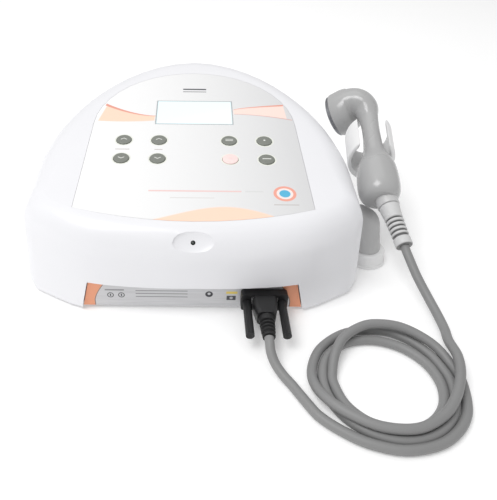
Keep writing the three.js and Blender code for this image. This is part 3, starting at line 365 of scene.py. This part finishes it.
COIL = [
    (-33, 62, 11.6),
    (-18, 54.6, 13.5),
    (0, 47.6, 13),
    (25, 42, 11.5),
    (50, 40, 10.8),
    (80, 40.5, 10.4),
    (110, 41.6, 10.4),
    (135, 44.2, 10.8),
    (155, 48, 10),
    (175, 51, 6.8),
    (195, 51.6, 4),
    (220, 51.6, ON_TABLE),
    (250, 51.6, ON_TABLE),
    (280, 51.3, ON_TABLE),
    (300, 50, ON_TABLE),
    (320, 47.4, ON_TABLE),
    (340, 45, ON_TABLE),
    (360, 44.3, ON_TABLE),
    *flat_turn(390, 540, 44.2),
    (570, 44.1, ON_TABLE),
    (600, 43, ON_TABLE),
    (630, 41, ON_TABLE),
    (660, 39.2, ON_TABLE),
    (690, 38, ON_TABLE),
    (720, 37.2, ON_TABLE),
    *flat_turn(750, 870, 37),
    (900, 37.2, ON_TABLE),
    (915, 37.6, 4.6),
    (935, 39.6, 8.6),
    (955, 43, 11.2),
    (975, 46, 13),
    (992, 48, 14),
    (1015, 50, 13),
    (1040, 51.8, 9.4),
    (1060, 52.2, 5.4),
    (1080, 52, 3.7),
    (1110, 51.4, ON_TABLE),
    (1140, 50.9, ON_TABLE),
    (1170, 50.9, ON_TABLE),
    (1195, 51.8, ON_TABLE),
    (1215, 54, ON_TABLE),
    (1232, 58, ON_TABLE),
]
TAIL = [
    (77, -217.5, ON_TABLE),
    (69.2, -203.1, 3.7),
    (63.5, -194.5, 4.6),
    (58.8, -187, 7.6),
    (56.2, -180.6, 11.6),
    (55.5, -175.2, 15.2),
    (55.5, -170.5, 16),
]
turned, out, height = np.array(COIL, float).T
angles = np.radians(-turned)
wound = np.stack(
    [COIL_MIDDLE[0] + out * np.cos(angles), COIL_MIDDLE[1] + out * np.sin(angles), height], axis=1
)
route = smooth_path(np.vstack([FALL, wound, TAIL]), 2.0)
lead = tube("lead", route, CORD_DIAMETER / 2, 20)
lead.data.materials.append(
    finish("lead_jacket", moulded("878787", 0.5, grain=1500.0, depth=0.00003, uneven=0.06))
)
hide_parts("cord_lead", "cord_coil", "cord_tail")
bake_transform(lead)


# ---- Casing ------------------------------------------------------------------------------------
# The top cover is one injection-moulded ABS shell in satin white, held to the flat base plate by four
# screws from below. A dimple in its front shoulder holds the power light.


def smoothed(node, name, crease):
    """A copy of a CAD node's mesh with its doubled points merged and smooth shading, except at edges
    sharper than the crease."""
    source = frame["nodes"][node].data
    points = np.zeros(len(source.vertices) * 3)
    source.vertices.foreach_get("co", points)
    corner = np.zeros(len(source.loops), int)
    source.loops.foreach_get("vertex_index", corner)
    whole, index = np.unique(points.reshape(-1, 3).round(7), axis=0, return_inverse=True)
    mesh = bpy.data.meshes.new(name)
    faces = index.reshape(-1)[corner].reshape(-1, 3)
    thin = (
        (faces[:, 0] == faces[:, 1]) | (faces[:, 1] == faces[:, 2]) | (faces[:, 0] == faces[:, 2])
    )
    mesh.from_pydata(whole.tolist(), [], faces[~thin].tolist())
    mesh.shade_smooth()
    mesh.set_sharp_from_angle(angle=math.radians(crease))
    piece = bpy.data.objects.new(name, mesh)
    bpy.context.scene.collection.objects.link(piece)
    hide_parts(node)
    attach(piece, frame["nodes"][node]["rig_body"])
    return piece


def weighted(piece):
    """Normals weighed by the area of the faces, so that wide flat faces stay flat."""
    modifier = piece.modifiers.new("weighted", "WEIGHTED_NORMAL")
    modifier.keep_sharp = True
    modifier.weight = 90


def clad(node, look):
    """Gives a CAD node that stays as it is a material of its own."""
    mesh = frame["nodes"][node].data
    mesh.materials.clear()
    mesh.materials.append(look)


white_abs = finish(
    "satin_white_abs",
    moulded("ebebee", 0.36, grain=1400.0, depth=0.000012, uneven=0.012, **{"Coat Weight": 0.12}),
)
cover = smoothed("top_cover", "cover", 30)
weighted(cover)
cover.data.materials.append(white_abs)
base_white = finish("matt_white_abs", moulded("e6e6e8", 0.55, grain=700.0, depth=0.00004))
clad("base_plate", base_white)
foot_rubber = finish("foot_rubber", moulded("242424", 0.85, grain=600.0, depth=0.00006, uneven=0.2))
for node in ("foot_front_left", "foot_front_right", "foot_rear_left", "foot_rear_right"):
    clad(node, foot_rubber)


def bright_steel(code, roughness, lines=1500.0):
    """Plated steel: fine drawn lines that stretch along x, and a faint stain in the colour."""

    def recipe(place):
        stretched = place.node("ShaderNodeMapping", {}, {"Vector": place, "Scale": (0.05, 1.0, 1.0)})
        fine = stretched.noise(lines, 2.0)
        cloud = place.noise(60.0)
        return {
            "Base Color": cloud.tint(shade(code, -0.1), shade(code, 0.06)),
            "Metallic": 1.0,
            "Roughness": roughness - 0.05 + 0.12 * fine,
            "Normal": place.bump(fine, 0.00001, 0.4),
        }

    return recipe


screw_steel = finish("zinc_screw", bright_steel("b9b9bd", 0.35))
for number in (1, 2, 3, 4):
    clad(f"case_screw_{number}", screw_steel)


# ---- Control panel -----------------------------------------------------------------------------
# A printed polyester film lies in a shallow recess of the cover. Its print is a soft grey that deepens
# to the right, peach and salmon swooshes, pale rings round the keys and a plain round badge.

SLOPE = math.atan(0.155)
PANEL_HEIGHT = 96.3
PAPER_LEFT, PAPER_RIGHT = rgb("f7f7f7"), rgb("d0d0d1")
PEACH, PEACH_PALE = rgb("fdd9c2"), rgb("fae0d6")
SALMON, DUSTY = rgb("e79c8a"), rgb("d8ada8")
RING_WHITE, CAPTION_GREY, NAVY = rgb("e9ebe2"), rgb("c3bdba"), rgb("3a3c48")
BADGE_RED, BADGE_BLUE = rgb("f0a391"), rgb("4fb3d9")
KEY_COLUMNS, KEY_ROWS = (-60, -30, 30, 60), (-15.7, -41.5)
KEY_RADIUS = 6.5


def panel_place(place):
    """Object place in millimetres across the panel, and up its slope."""
    x, y, z = place.split()
    across = 1000 * x - 1000 * ORIGIN[0]
    upward = (1000 * y - 1000 * ORIGIN[1]) * math.cos(SLOPE) + (1000 * z - PANEL_HEIGHT) * math.sin(SLOPE)
    return across, upward


def disc(across, upward, middle, radius, soft=0.5):
    """1 inside a circle."""
    away = ((across - middle[0]) ** 2 + (upward - middle[1]) ** 2) ** 0.5
    return (radius - away).inside(soft)


def bar(across, upward, middle, half, soft=0.4):
    """1 inside a small rectangle with its half width and half height."""
    inside = (half[0] - abs(across - middle[0])).least(half[1] - abs(upward - middle[1]))
    return inside.inside(soft)


def printed_film(place):
    across, upward = panel_place(place)
    shift = (across + 110) / 220
    colour = shift.node("ShaderNodeMath", {"operation": "MULTIPLY", "use_clamp": True}, {0: shift, 1: 1.0})
    colour = (colour**1.5).tint(PAPER_LEFT, PAPER_RIGHT)
    # Left wedge: it opens from the window to the left, under a salmon line.
    reach = ((-36.0 - across) / 44).most(0.0)
    top = 22 + 17 * reach**1.7
    bottom = 12.2 + 0.0022 * (across + 66) ** 2
    left = (across + 85.7 - 0.214 * (upward - 14)).least(-35.6 - across)
    wedge = (top - upward).least(upward - bottom).least(left).inside(1.2)
    colour = wedge.tint(colour, PEACH)
    line = (0.35 + 1.5 * reach - abs(upward - top + 0.4)).least(left + 1.5)
    colour = line.inside(0.7).tint(colour, SALMON)
    # Right wedge: two fine lines spread from the window, with a paler fill.
    reach = ((across - 35.6) / 45).most(0.001)
    top = 32.5 + 8.5 * reach**0.6
    bottom = 25.8 - 8.5 * (0.88 * reach) ** 1.8
    right = (across - 35.6).least(82.5 - across + 0.05 * (30 - upward))
    fill = (top - upward).least(upward - bottom).least(right).inside(1.0)
    colour = fill.tint(colour, PEACH_PALE)
    line = (0.3 + 0.9 * reach - abs(upward - top)).least(right).inside(0.6)
    colour = line.tint(colour, SALMON)
    line = (0.3 + 0.25 * reach - abs(upward - bottom)).least(across - 36).least(87.5 - across)
    colour = line.inside(0.6).tint(colour, DUSTY)
    # Front lens: a low peach hill that rises to the right of the middle.
    part = ((across + 40) / 104).most(0.0).least(1.0)
    hill = -117 + 5 * part + 13.9 * (math.pi * part**1.3).maths("SINE", math.pi * part**1.3)
    lens = (hill - upward).least(across + 40).least(65 - across).inside(2.0)
    colour = lens.tint(colour, PEACH)
    # Rings round the keys, the badge, and plain rules where a maker would put words.
    for column in KEY_COLUMNS:
        for row in KEY_ROWS:
            ring = disc(across, upward, (column, row), KEY_RADIUS + 1.5, 0.8)
            colour = ring.tint(colour, RING_WHITE)
    colour = disc(across, upward, (70.4, -84.1), 8.8).tint(colour, BADGE_RED)
    colour = disc(across, upward, (70.4, -84.1), 6.4).tint(colour, rgb("f4e8e4"))
    colour = disc(across, upward, (70.4, -84.1), 4.3).tint(colour, BADGE_BLUE)
    colour = bar(across, upward, (70.4, -97), (9.5, 0.5)).tint(colour, CAPTION_GREY)
    colour = bar(across, upward, (-60.3, -28.8), (6, 0.55)).tint(colour, CAPTION_GREY)
    colour = bar(across, upward, (-29.9, -28.8), (3.4, 0.55)).tint(colour, CAPTION_GREY)
    colour = bar(across, upward, (1, -82), (36, 0.8)).tint(colour, rgb("ecc9c6"))
    colour = bar(across, upward, (47, -82), (7, 0.8)).tint(colour, rgb("d9d9d9"))
    colour = bar(across, upward, (-1, -90), (17, 0.4)).tint(colour, rgb("d9d6d4"))
    colour = bar(across, upward, (0, 68), (11, 1.1)).tint(colour, NAVY)
    colour = bar(across, upward, (0, 63.5), (11, 0.5)).tint(colour, NAVY)
    orange_peel = place.noise(500.0, 2.0)
    return {
        "Base Color": colour,
        "Roughness": 0.34 + 0.1 * orange_peel,
        "Normal": place.bump(orange_peel, 0.00001, 0.5),
        "Coat Weight": 0.1,
    }


clad("control_overlay", finish("printed_film", printed_film))


# ---- Display -----------------------------------------------------------------------------------
# A 128 by 64 dot display behind a clear window: pale cyan when it is lit, with the faint grid of its
# dots and a thin band of painted shade at the window's edge.


def display_window(place):
    across, upward = panel_place(place)
    dots = (across * (2 * math.pi / 0.5)).maths("SINE", across * (2 * math.pi / 0.5))
    rows = (upward * (2 * math.pi / 0.5)).maths("SINE", upward * (2 * math.pi / 0.5))
    grid = (dots.most(rows) - 0.9).inside(0.2)
    # Painted shade: this edge mask darkens both the colour and the glow in a thin band round the window.
    edge = ((abs(across) - 33.6).most(abs(upward - 28) - 18.1)).inside(0.5)
    glow = grid.tint(rgb("e6f8fb"), rgb("dcf0f4"))
    return {
        "Base Color": edge.tint(glow, rgb("b9c3c6")),
        "Roughness": 0.12,
        "Coat Weight": 0.3,
        "Emission Color": edge.tint(rgb("e6f8fb"), rgb("606668")),
        "Emission Strength": 0.16,
    }


clad("lcd_window", finish("display_window", display_window))


# ---- Keys --------------------------------------------------------------------------------------
# Eight round caps of grey moulded plastic, one pale pink for stop. Each is a low dome with a soft rim,
# printed with a light mark, and travels half a millimetre into the panel.


def on_panel(across, upward, height):
    """Places in the panel's own frame, turned onto the sloping top."""
    across, upward, height = np.broadcast_arrays(across, upward, height)
    return np.stack(
        [
            across,
            upward * math.cos(SLOPE) - height * math.sin(SLOPE),
            PANEL_HEIGHT + upward * math.sin(SLOPE) + height * math.cos(SLOPE),
        ],
        axis=-1,
    )


DOME_RADII = [4.4, 2.9, 1.4, 0.4]


def key_cap(name, column, row):
    """Rings about the key's own axis: a straight skirt, a quarter-round rim and a shallow dome."""
    rim = np.radians(np.linspace(0, 90, 7))
    radius = np.concatenate([[KEY_RADIUS], KEY_RADIUS - 0.7 * (1 - np.cos(rim)), DOME_RADII])
    dome = 0.9 + 0.25 * (1 - (np.array(DOME_RADII) / (KEY_RADIUS - 0.7)) ** 2)
    lift = np.concatenate([[-1.0], 0.35 + 0.55 * np.sin(rim), dome])
    turns = np.linspace(0, 2 * math.pi, 48, endpoint=False)
    rings = on_panel(
        column + radius[:, None] * np.cos(turns), row + radius[:, None] * np.sin(turns), lift[:, None]
    )
    return surface(name, rings)


def key_print(column, row, sign, code="74776f"):
    """The cap's plastic with its mark: a chevron up or down, two bars, or a dot."""

    def recipe(place):
        across, upward = panel_place(place)
        across = across - column
        upward = upward - row
        if sign in ("up", "down"):
            way = 1 if sign == "up" else -1
            bend = upward * way + 0.62 * abs(across) - 1.1
            mark = (0.42 - abs(bend)).least(2.6 - abs(across)).inside(0.35)
        elif sign == "bars":
            mark = (0.38 - abs(abs(upward) - 0.95)).least(3.2 - abs(across)).inside(0.35)
        elif sign == "wide":
            mark = (0.5 - abs(upward)).least(3.6 - abs(across)).inside(0.35)
        elif sign == "dot":
            mark = (0.9 - (across**2 + upward**2) ** 0.5).inside(0.35)
        else:
            mark = (1.5 - abs(across).most(abs(upward))).inside(0.3)
        light = rgb("ecede8") if sign != "square" else rgb("f6d9d6")
        cloud = place.noise(300.0)
        plain = cloud.tint(shade(code, -0.06), shade(code, 0.06))
        return {
            "Base Color": (0.9 * mark).tint(plain, light),
            "Roughness": 0.32 + 0.1 * cloud,
            "Normal": place.bump(place.noise(1500.0, 2.0), 0.00001, 0.5),
        }

    return recipe


KEY_SIGNS = {
    "key_output_up": (0, 0, "up"),
    "key_time_up": (1, 0, "up"),
    "key_mode": (2, 0, "bars"),
    "key_rate": (3, 0, "dot"),
    "key_output_down": (0, 1, "down"),
    "key_time_down": (1, 1, "down"),
    "key_stop": (2, 1, "square"),
    "key_start": (3, 1, "wide"),
}
for node, (column, row, sign) in KEY_SIGNS.items():
    cap = key_cap(node.replace("key_", "cap_"), KEY_COLUMNS[column], KEY_ROWS[row])
    code = "f7dedb" if node == "key_stop" else "7c7f78"
    look = key_print(KEY_COLUMNS[column], KEY_ROWS[row], sign, code)
    cap.data.materials.append(finish(node + "_print", look))
    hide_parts(node)
    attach(cap, node)
clad("power_light", finish("dark_lens", moulded("3c4240", 0.15, grain=300.0, depth=0.000005)))


# ---- Connector panel ---------------------------------------------------------------------------
# A recessed metal plate with a printed label: silver in the middle, orange at both ends, plain rules
# and patches for its words. Its nine-way socket has a plated collar and two hexagonal nuts.


def panel_label(place):
    x, y, z = place.split()
    across = 1000 * x - 1000 * ORIGIN[0]
    height = 1000 * z
    brushed = place.node(
        "ShaderNodeMapping", {}, {"Vector": place, "Scale": (0.04, 1.0, 1.0)}
    ).noise(900.0, 3.0)
    colour = brushed.tint(rgb("bdbdbf"), rgb("dadadc"))
    rise = ((height - 8.5) / 18.5).most(0.0) ** 1.5
    left = 9 * rise - 77 - across
    right = across - 77 + 9.5 * rise
    end = left.most(right)
    outline = (0.35 - abs(end - 0.2)).inside(0.3)
    colour = end.inside(0.4).tint(colour, rgb("e9a17f"))
    colour = outline.tint(colour, rgb("8a7a74"))
    for middle, half in (
        ((-61.2, 19.5), (7.5, 0.55)),
        ((-24.3, 19.0), (20.4, 0.35)),
        ((-24.3, 16.0), (20.4, 0.35)),
        ((-24.3, 12.8), (20.4, 0.35)),
    ):
        colour = (0.9 * bar(across, height, middle, half)).tint(colour, rgb("6d6d70"))
    for middle in ((-64.6, 14.2), (-56.0, 14.3)):
        mark = disc(across, height, middle, 2.6) - disc(across, height, middle, 1.9)
        colour = mark.most(bar(across, height, middle, (0.5, 1.2))).tint(colour, rgb("3b3b3e"))
    colour = disc(across, height, (13, 16), 3).tint(colour, rgb("3d3d42"))
    colour = disc(across, height, (13, 16.4), 1.2).tint(colour, rgb("c9c9cb"))
    colour = bar(across, height, (30.8, 17.8), (4.4, 1.2)).tint(colour, rgb("e6cf6a"))
    colour = bar(across, height, (30.5, 12.3), (3.6, 2.3)).tint(colour, rgb("4c4c50"))
    colour = disc(across, height, (30.5, 12.3), 1.3).tint(colour, rgb("b9b9bb"))
    return {
        "Base Color": colour,
        "Metallic": 0.25,
        "Roughness": 0.36 + 0.1 * brushed,
        "Normal": place.bump(brushed, 0.00001, 0.4),
    }


clad("connector_panel", finish("panel_label", panel_label))
plated = finish("plated_collar", bright_steel("c8c8ca", 0.26))
collar = smoothed("socket_shell", "collar", 35)
collar.data.materials.append(plated)
for node in ("socket_nut_left", "socket_nut_right"):
    clad(node, screw_steel)
insulator_black = finish("insulator_black", moulded("1c1c1d", 0.45, grain=800.0, depth=0.00002, uneven=0.15))
clad("socket_insulator", insulator_black)


# ---- Plug --------------------------------------------------------------------------------------
# The lead's nine-way plug: a black moulded hood over a plated shell, a ribbed boot, and two long
# knurled thumbscrews that hold it to the socket's nuts.

hood_black = moulded("171718", 0.42, grain=700.0, depth=0.00003, uneven=0.2)
hood = smoothed("plug_hood", "hood", 32)
weighted(hood)
hood.data.materials.append(finish("hood_black", hood_black))
shell = smoothed("plug_shell", "shell", 35)
shell.data.materials.append(plated)
boot = smoothed("plug_boot", "boot", 45)
boot.data.materials.append(
    finish("boot_rubber", moulded("1b1b1c", 0.6, grain=900.0, depth=0.00004, uneven=0.2))
)


def knurled(middle):
    """A black thumbscrew with straight grooves along it, from a wave about its own axis."""

    def recipe(place):
        x, y, z = place.split()
        turn = (1000 * z - 16).maths("ARCTAN2", 1000 * z - 16, 1000 * x - 1000 * ORIGIN[0] - middle)
        groove = (turn * 18).maths("SINE", turn * 18)
        fine = place.noise(900.0, 2.0)
        return {
            "Base Color": fine.tint(rgb("101011"), rgb("202022")),
            "Roughness": 0.4 + 0.1 * fine,
            "Normal": place.bump(groove, 0.0002, 0.8),
        }

    return recipe


for side, middle in (("left", 42.0), ("right", 69.0)):
    screw = smoothed(f"thumbscrew_{side}", f"knurled_{side}", 40)
    screw.data.materials.append(finish(f"knurled_{side}", knurled(middle)))


# ---- Handset -----------------------------------------------------------------------------------
# The applicator: a glossy grey moulded handle with a round bulb at the cable's end and a neck that
# turns square into a round head. The treatment face is a polished aluminium disc behind a soft seal.

HANDSET_END = np.array([161.5, -42.5, 52.5])
HANDLE = np.array([0.045, 0.924, 0.38])
HANDLE = HANDLE / np.linalg.norm(HANDLE)
HEAD = np.array([-0.78, 0.27, -0.56])
HEAD = HEAD - HANDLE * HEAD.dot(HANDLE)
HEAD = HEAD / np.linalg.norm(HEAD)
SIDEWAYS = np.cross(HANDLE, HEAD)
NECK_START, NECK_BEND = 103.0, 13.0
HEAD_START = NECK_START + NECK_BEND * math.pi / 2
HEAD_END = HEAD_START + 18
# Half thickness: distance along the line, inner side, outer side, across.
GIRTH = [
    (0, 12.4, 12.4, 12.4),
    (1.4, 14.4, 14.4, 14.4),
    (4, 16.2, 16.2, 16.2),
    (8, 17.5, 17.5, 17.5),
    (14, 18, 18, 18),
    (22, 17.9, 17.9, 17.9),
    (32, 17.1, 17.1, 17.1),
    (38, 15.8, 15.8, 15.8),
    (44, 13.4, 13.4, 13.4),
    (49, 11, 11, 11),
    (54, 9.5, 9.5, 9.5),
    (62, 8.5, 8.5, 8.5),
    (80, 7.9, 7.9, 7.9),
    (94, 9.2, 8.2, 8.4),
    (NECK_START, 12.6, 9, 11.5),
    (NECK_START + 5, 12.9, 10.8, 14.8),
    (NECK_START + 10.2, 12.9, 13.4, 17.6),
    (HEAD_START, 13.4, 19.5, 20.4),
    (HEAD_START + 3, 17.6, 21.6, 21),
    (HEAD_START + 8, 20.9, 22.5, 21.4),
    (HEAD_START + 11, 21.5, 22.1, 21.5),
    (HEAD_END - 2, 21.5, 21.5, 21.5),
]


def grip_rings(sides):
    knots = np.array(GIRTH, float)
    fine = smooth_path(knots, 1.2)
    rim = np.radians(np.linspace(0, 90, 6))[1:]
    edge = [(HEAD_END - 1.2 + 1.2 * math.sin(t), *[21.5 - 1.0 * (1 - math.cos(t))] * 3) for t in rim]
    stations = np.vstack([fine, edge, [(HEAD_END, 18.6, 18.6, 18.6)]])
    along, inner, outer, across = (stations[:, k, None] for k in range(4))
    bend = np.clip((along - NECK_START) / NECK_BEND, 0, math.pi / 2)
    past = np.maximum(along - HEAD_START, 0)
    x = NECK_BEND * (1 - np.cos(bend)) + past
    z = np.minimum(along, NECK_START) + NECK_BEND * np.sin(bend)
    angle = np.linspace(0, 2 * math.pi, sides, endpoint=False)[None, :]
    blend = 0.5 + 0.5 * np.clip(np.cos(angle) * 4, -1, 1)
    reach = (outer + (inner - outer) * blend) * np.cos(angle)
    px = x + reach * np.cos(bend)
    py = across * np.sin(angle)
    pz = z - reach * np.sin(bend)
    return HANDSET_END + px[..., None] * HEAD + py[..., None] * SIDEWAYS + pz[..., None] * HANDLE


gloss_coat = {"Coat Weight": 0.35, "Coat Roughness": 0.12}
grip = surface("grip", grip_rings(96), crease=45)
grip.data.materials.append(
    finish(
        "glossy_grey_abs",
        moulded("acacac", 0.27, grain=500.0, depth=0.000008, uneven=0.02, **gloss_coat),
    )
)
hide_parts("handset_body")
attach(grip, "handset")


def turned_rings(profile, sides, start, axis):
    """Rings of a lathed profile, as (radius, place along the axis), about an axis from a start."""
    axis = np.asarray(axis, float) / np.linalg.norm(axis)
    side = np.cross([0.0, 0.0, 1.0], axis)
    side /= np.linalg.norm(side)
    up = np.cross(axis, side)
    radius, along = np.array(profile, float).T
    turns = np.linspace(0, 2 * math.pi, sides, endpoint=False)
    ring = np.cos(turns)[:, None] * side + np.sin(turns)[:, None] * up
    return start + along[:, None, None] * axis + radius[:, None, None] * ring


GLAND = HANDSET_END + np.array([5.0, -1.0, 0.0])
GLAND_AXIS = np.array([-0.14, 0.928, 0.35])
nut_profile = [(3.6, -6), (8.5, -6), (9.0, -5.8), (9.2, -5.2), (9.2, 3.9), (3.6, 3.9)]
nut = surface("nut", turned_rings(nut_profile, 72, GLAND, GLAND_AXIS), crease=35)
nut.data.materials.append(finish("gland_grey", moulded("c4c4c4", 0.38, grain=700.0, depth=0.00002)))
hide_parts("gland_nut")
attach(nut, "handset")


def relief_profile():
    """From the cable's end up: a plain collar, five rounded ribs with grooves, and a flared neck."""
    low, high = -46.3, -6.3
    points = [(3.55, low), (6.2, low), (6.8, low + 0.4), (7.0, low + 1.1), (7.0, low + 6.6), (6.7, low + 7.4)]
    pitch = (high - low - 19) / 5
    for number in range(5):
        start = low + 8 + number * pitch
        wide = 7 + 0.15 * number
        points += [
            (5.2, start + 0.1),
            (5.0, start + pitch * 0.3),
            (wide - 0.35, start + pitch * 0.45),
            (wide, start + pitch * 0.58),
            (wide, start + pitch * 0.85),
            (wide - 0.35, start + pitch * 0.97),
        ]
    neck = [(7.5, high - 10), (8.1, high - 5), (8.5, high - 1.2), (8.4, high - 0.4), (8.0, high)]
    return points + neck + [(3.55, high)]


def ribbed(place):
    """Soft rubber with painted shade down in the grooves, by the distance from the relief's own axis."""
    x, y, z = place.split()
    parts = [1000 * part - 1000 * home - local for part, home, local in zip((x, y, z), ORIGIN, GLAND)]
    way = GLAND_AXIS / np.linalg.norm(GLAND_AXIS)
    along = parts[0] * way[0] + parts[1] * way[1] + parts[2] * way[2]
    away = (parts[0] ** 2 + parts[1] ** 2 + parts[2] ** 2 - along**2).most(0.0) ** 0.5
    fine = place.noise(800.0, 2.0)
    pale = fine.tint(rgb("c8c8c8"), rgb("d0d0d0"))
    return {
        # Painted shade: places nearer the axis than the ribs, down in the grooves, take the darker grey.
        "Base Color": (6.5 - away).inside(0.9).tint(pale, rgb("7d7d7d")),
        "Roughness": 0.46 + 0.1 * fine,
        "Normal": place.bump(fine, 0.00003, 0.5),
    }


relief = surface("relief", turned_rings(relief_profile(), 72, GLAND, GLAND_AXIS), crease=50)
relief.data.materials.append(finish("relief_rubber", ribbed))
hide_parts("strain_relief")
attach(relief, "handset")
face = smoothed("transducer_face", "face", 30)
face.data.materials.append(finish("face_aluminium", bright_steel("8d8e92", 0.32, 700.0)))
seal = smoothed("head_seal", "seal", 35)
seal.data.materials.append(finish("seal_grey", moulded("8f9092", 0.6, grain=500.0)))
clad("crystal", finish("crystal_ceramic", moulded("d9d2bf", 0.5, grain=400.0)))


# ---- Cradle ------------------------------------------------------------------------------------
# The handset's holder in white ABS: an open clip with round edges, and a leaning round post on a foot
# beside the casing. The post is the CAD's own, and it ends short of the clip.

CLIP_INNER, CLIP_OUTER, CLIP_MOUTH, CLIP_LENGTH = 17.6, 21.4, 25.0, 30.0
CLIP_END = HANDSET_END + 78 * HANDLE + np.array([-2.2, 0.0, -3.0])


def clip_rings():
    """The C section carried along the handle's line, drawn in at both ends over a round edge."""
    turn = np.radians(np.linspace(0, 90, 5))
    inset = np.concatenate([1 - np.sin(turn), np.zeros(9), (1 - np.sin(turn))[::-1]]) * 1.2
    rim = 1.2 * (1 - np.cos(turn))
    middle = np.linspace(2.4, CLIP_LENGTH - 2.4, 9)
    along = np.concatenate([rim, middle, CLIP_LENGTH - rim[::-1]])
    rings = []
    for step, edge in zip(along, inset):
        outer, inner = CLIP_OUTER - edge, CLIP_INNER + edge
        lip = (CLIP_MOUTH / 2 + edge + 1.1) / np.array([CLIP_OUTER, CLIP_INNER])
        out_open, in_open = np.arcsin(lip)
        out_angle = np.linspace(math.pi / 2 + out_open, 2.5 * math.pi - out_open, 90)
        in_angle = np.linspace(2.5 * math.pi - in_open, math.pi / 2 + in_open, 90)
        bulge = 1.1 * np.sin(np.linspace(0, math.pi, 7)[1:-1])
        first = np.linspace([outer, out_angle[-1]], [inner, in_angle[0]], 7)[1:-1]
        last = np.linspace([inner, in_angle[-1]], [outer, out_angle[0]], 7)[1:-1]
        first[:, 1] += bulge / 20
        last[:, 1] -= bulge / 20
        radius = np.concatenate([np.full(90, outer), first[:, 0], np.full(90, inner), last[:, 0]])
        angle = np.concatenate([out_angle, first[:, 1], in_angle, last[:, 1]])
        ring = np.stack([radius * np.cos(angle), np.zeros(len(angle)), radius * np.sin(angle)], axis=1)
        rings.append(CLIP_END - step * HANDLE + ring)
    rings = np.array(rings)
    middles = []
    for ring, step in ((rings[0], 0.0), (rings[-1], CLIP_LENGTH)):
        centre = CLIP_END - step * HANDLE
        spoke = ring - centre
        size = np.linalg.norm(spoke, axis=1)[:, None]
        middles.append(centre + spoke / size * (CLIP_INNER + CLIP_OUTER) / 2)
    return np.concatenate([[middles[0]], rings, [middles[1]]])


clip = surface("clip", clip_rings(), caps=(False, False), crease=40)
cradle_white = moulded("ebebeb", 0.38, grain=900.0, depth=0.000015, uneven=0.015)
clip.data.materials.append(finish("clip_abs", cradle_white))
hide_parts("cradle_clip")
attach(clip, "console")
# The post is the same white ABS as the clip and foot. Its grey colour is painted shade.
post = smoothed("cradle_post", "post", 50)
post.data.materials.append(
    finish("post_painted_shade", moulded("b9b9b9", 0.42, grain=900.0, depth=0.000015, uneven=0.02))
)
cradle_base = smoothed("cradle_foot", "cradle_base", 35)
weighted(cradle_base)
cradle_base.data.materials.append(finish("cradle_base_abs", cradle_white))
for number in (1, 2):
    clad(f"cradle_screw_{number}", screw_steel)


# ---- Back --------------------------------------------------------------------------------------
# A plain plate with a three-blade mains inlet, a fuse drawer above it and a black rocker switch.

clad("rear_panel", finish("rear_plate", moulded("c9c9cb", 0.5, grain=600.0, depth=0.00003)))
inlet_black = finish("inlet_black", moulded("19191a", 0.4, grain=700.0, depth=0.00002, uneven=0.2))
for node in ("mains_inlet", "fuse_drawer", "rocker_frame"):
    clad(node, inlet_black)


def rocker_marks(place):
    """The rocker's plastic with a white bar at its on end and a ring at its off end."""
    x, y, z = place.split()
    across = 1000 * x - 1000 * ORIGIN[0] - 19
    height = 1000 * z - 30
    fine = place.noise(700.0, 2.0)
    ring = disc(across, height, (0, -4), 1.3, 0.2) - disc(across, height, (0, -4), 0.9, 0.2)
    mark = ring.most(bar(across, height, (0, 4), (0.3, 1.3), 0.2)) * (y - 0.1).inside(0.001)
    return {
        "Base Color": mark.tint(fine.tint(rgb("161617"), rgb("222224")), rgb("e8e8e8")),
        "Roughness": 0.34 + 0.1 * fine,
        "Normal": place.bump(fine, 0.00002, 0.5),
    }


clad("rocker", finish("rocker_marks", rocker_marks))
clad("fuse", finish("fuse_glass", moulded("cfd3d0", 0.2, grain=300.0)))


# ---- Inside ------------------------------------------------------------------------------------
# The boards, the transformer and the heat sink that the closed casing hides.


def circuit_board(place):
    """Green solder mask over copper that shows as paler tracks and dull solder."""
    stretched = place.node("ShaderNodeMapping", {}, {"Vector": place, "Scale": (1.0, 0.25, 1.0)})
    tracks = stretched.noise(900.0, 1.0)
    cloud = place.noise(120.0)
    mask = (tracks - 0.55).inside(0.05)
    return {
        "Base Color": (0.7 * mask).tint(cloud.tint(rgb("1b4a2c"), rgb("23603a")), rgb("4f8a57")),
        "Roughness": 0.35 + 0.2 * cloud,
        "Normal": place.bump(mask, 0.00003, 0.5),
    }


board = finish("circuit_board", circuit_board)
for node in ("main_board", "power_board", "output_board", "keypad_board"):
    clad(node, board)
clad("lcd_module", finish("lcd_frame", bright_steel("9a9a9c", 0.4)))
clad("transformer", finish("winding_tape", moulded("8a5a2c", 0.45, grain=300.0, depth=0.00008, uneven=0.2)))
clad("heat_sink", finish("raw_aluminium", bright_steel("b4b6b9", 0.35, 900.0)))
clad("buzzer", finish("buzzer_black", moulded("1d1d1e", 0.5, grain=600.0, uneven=0.2)))
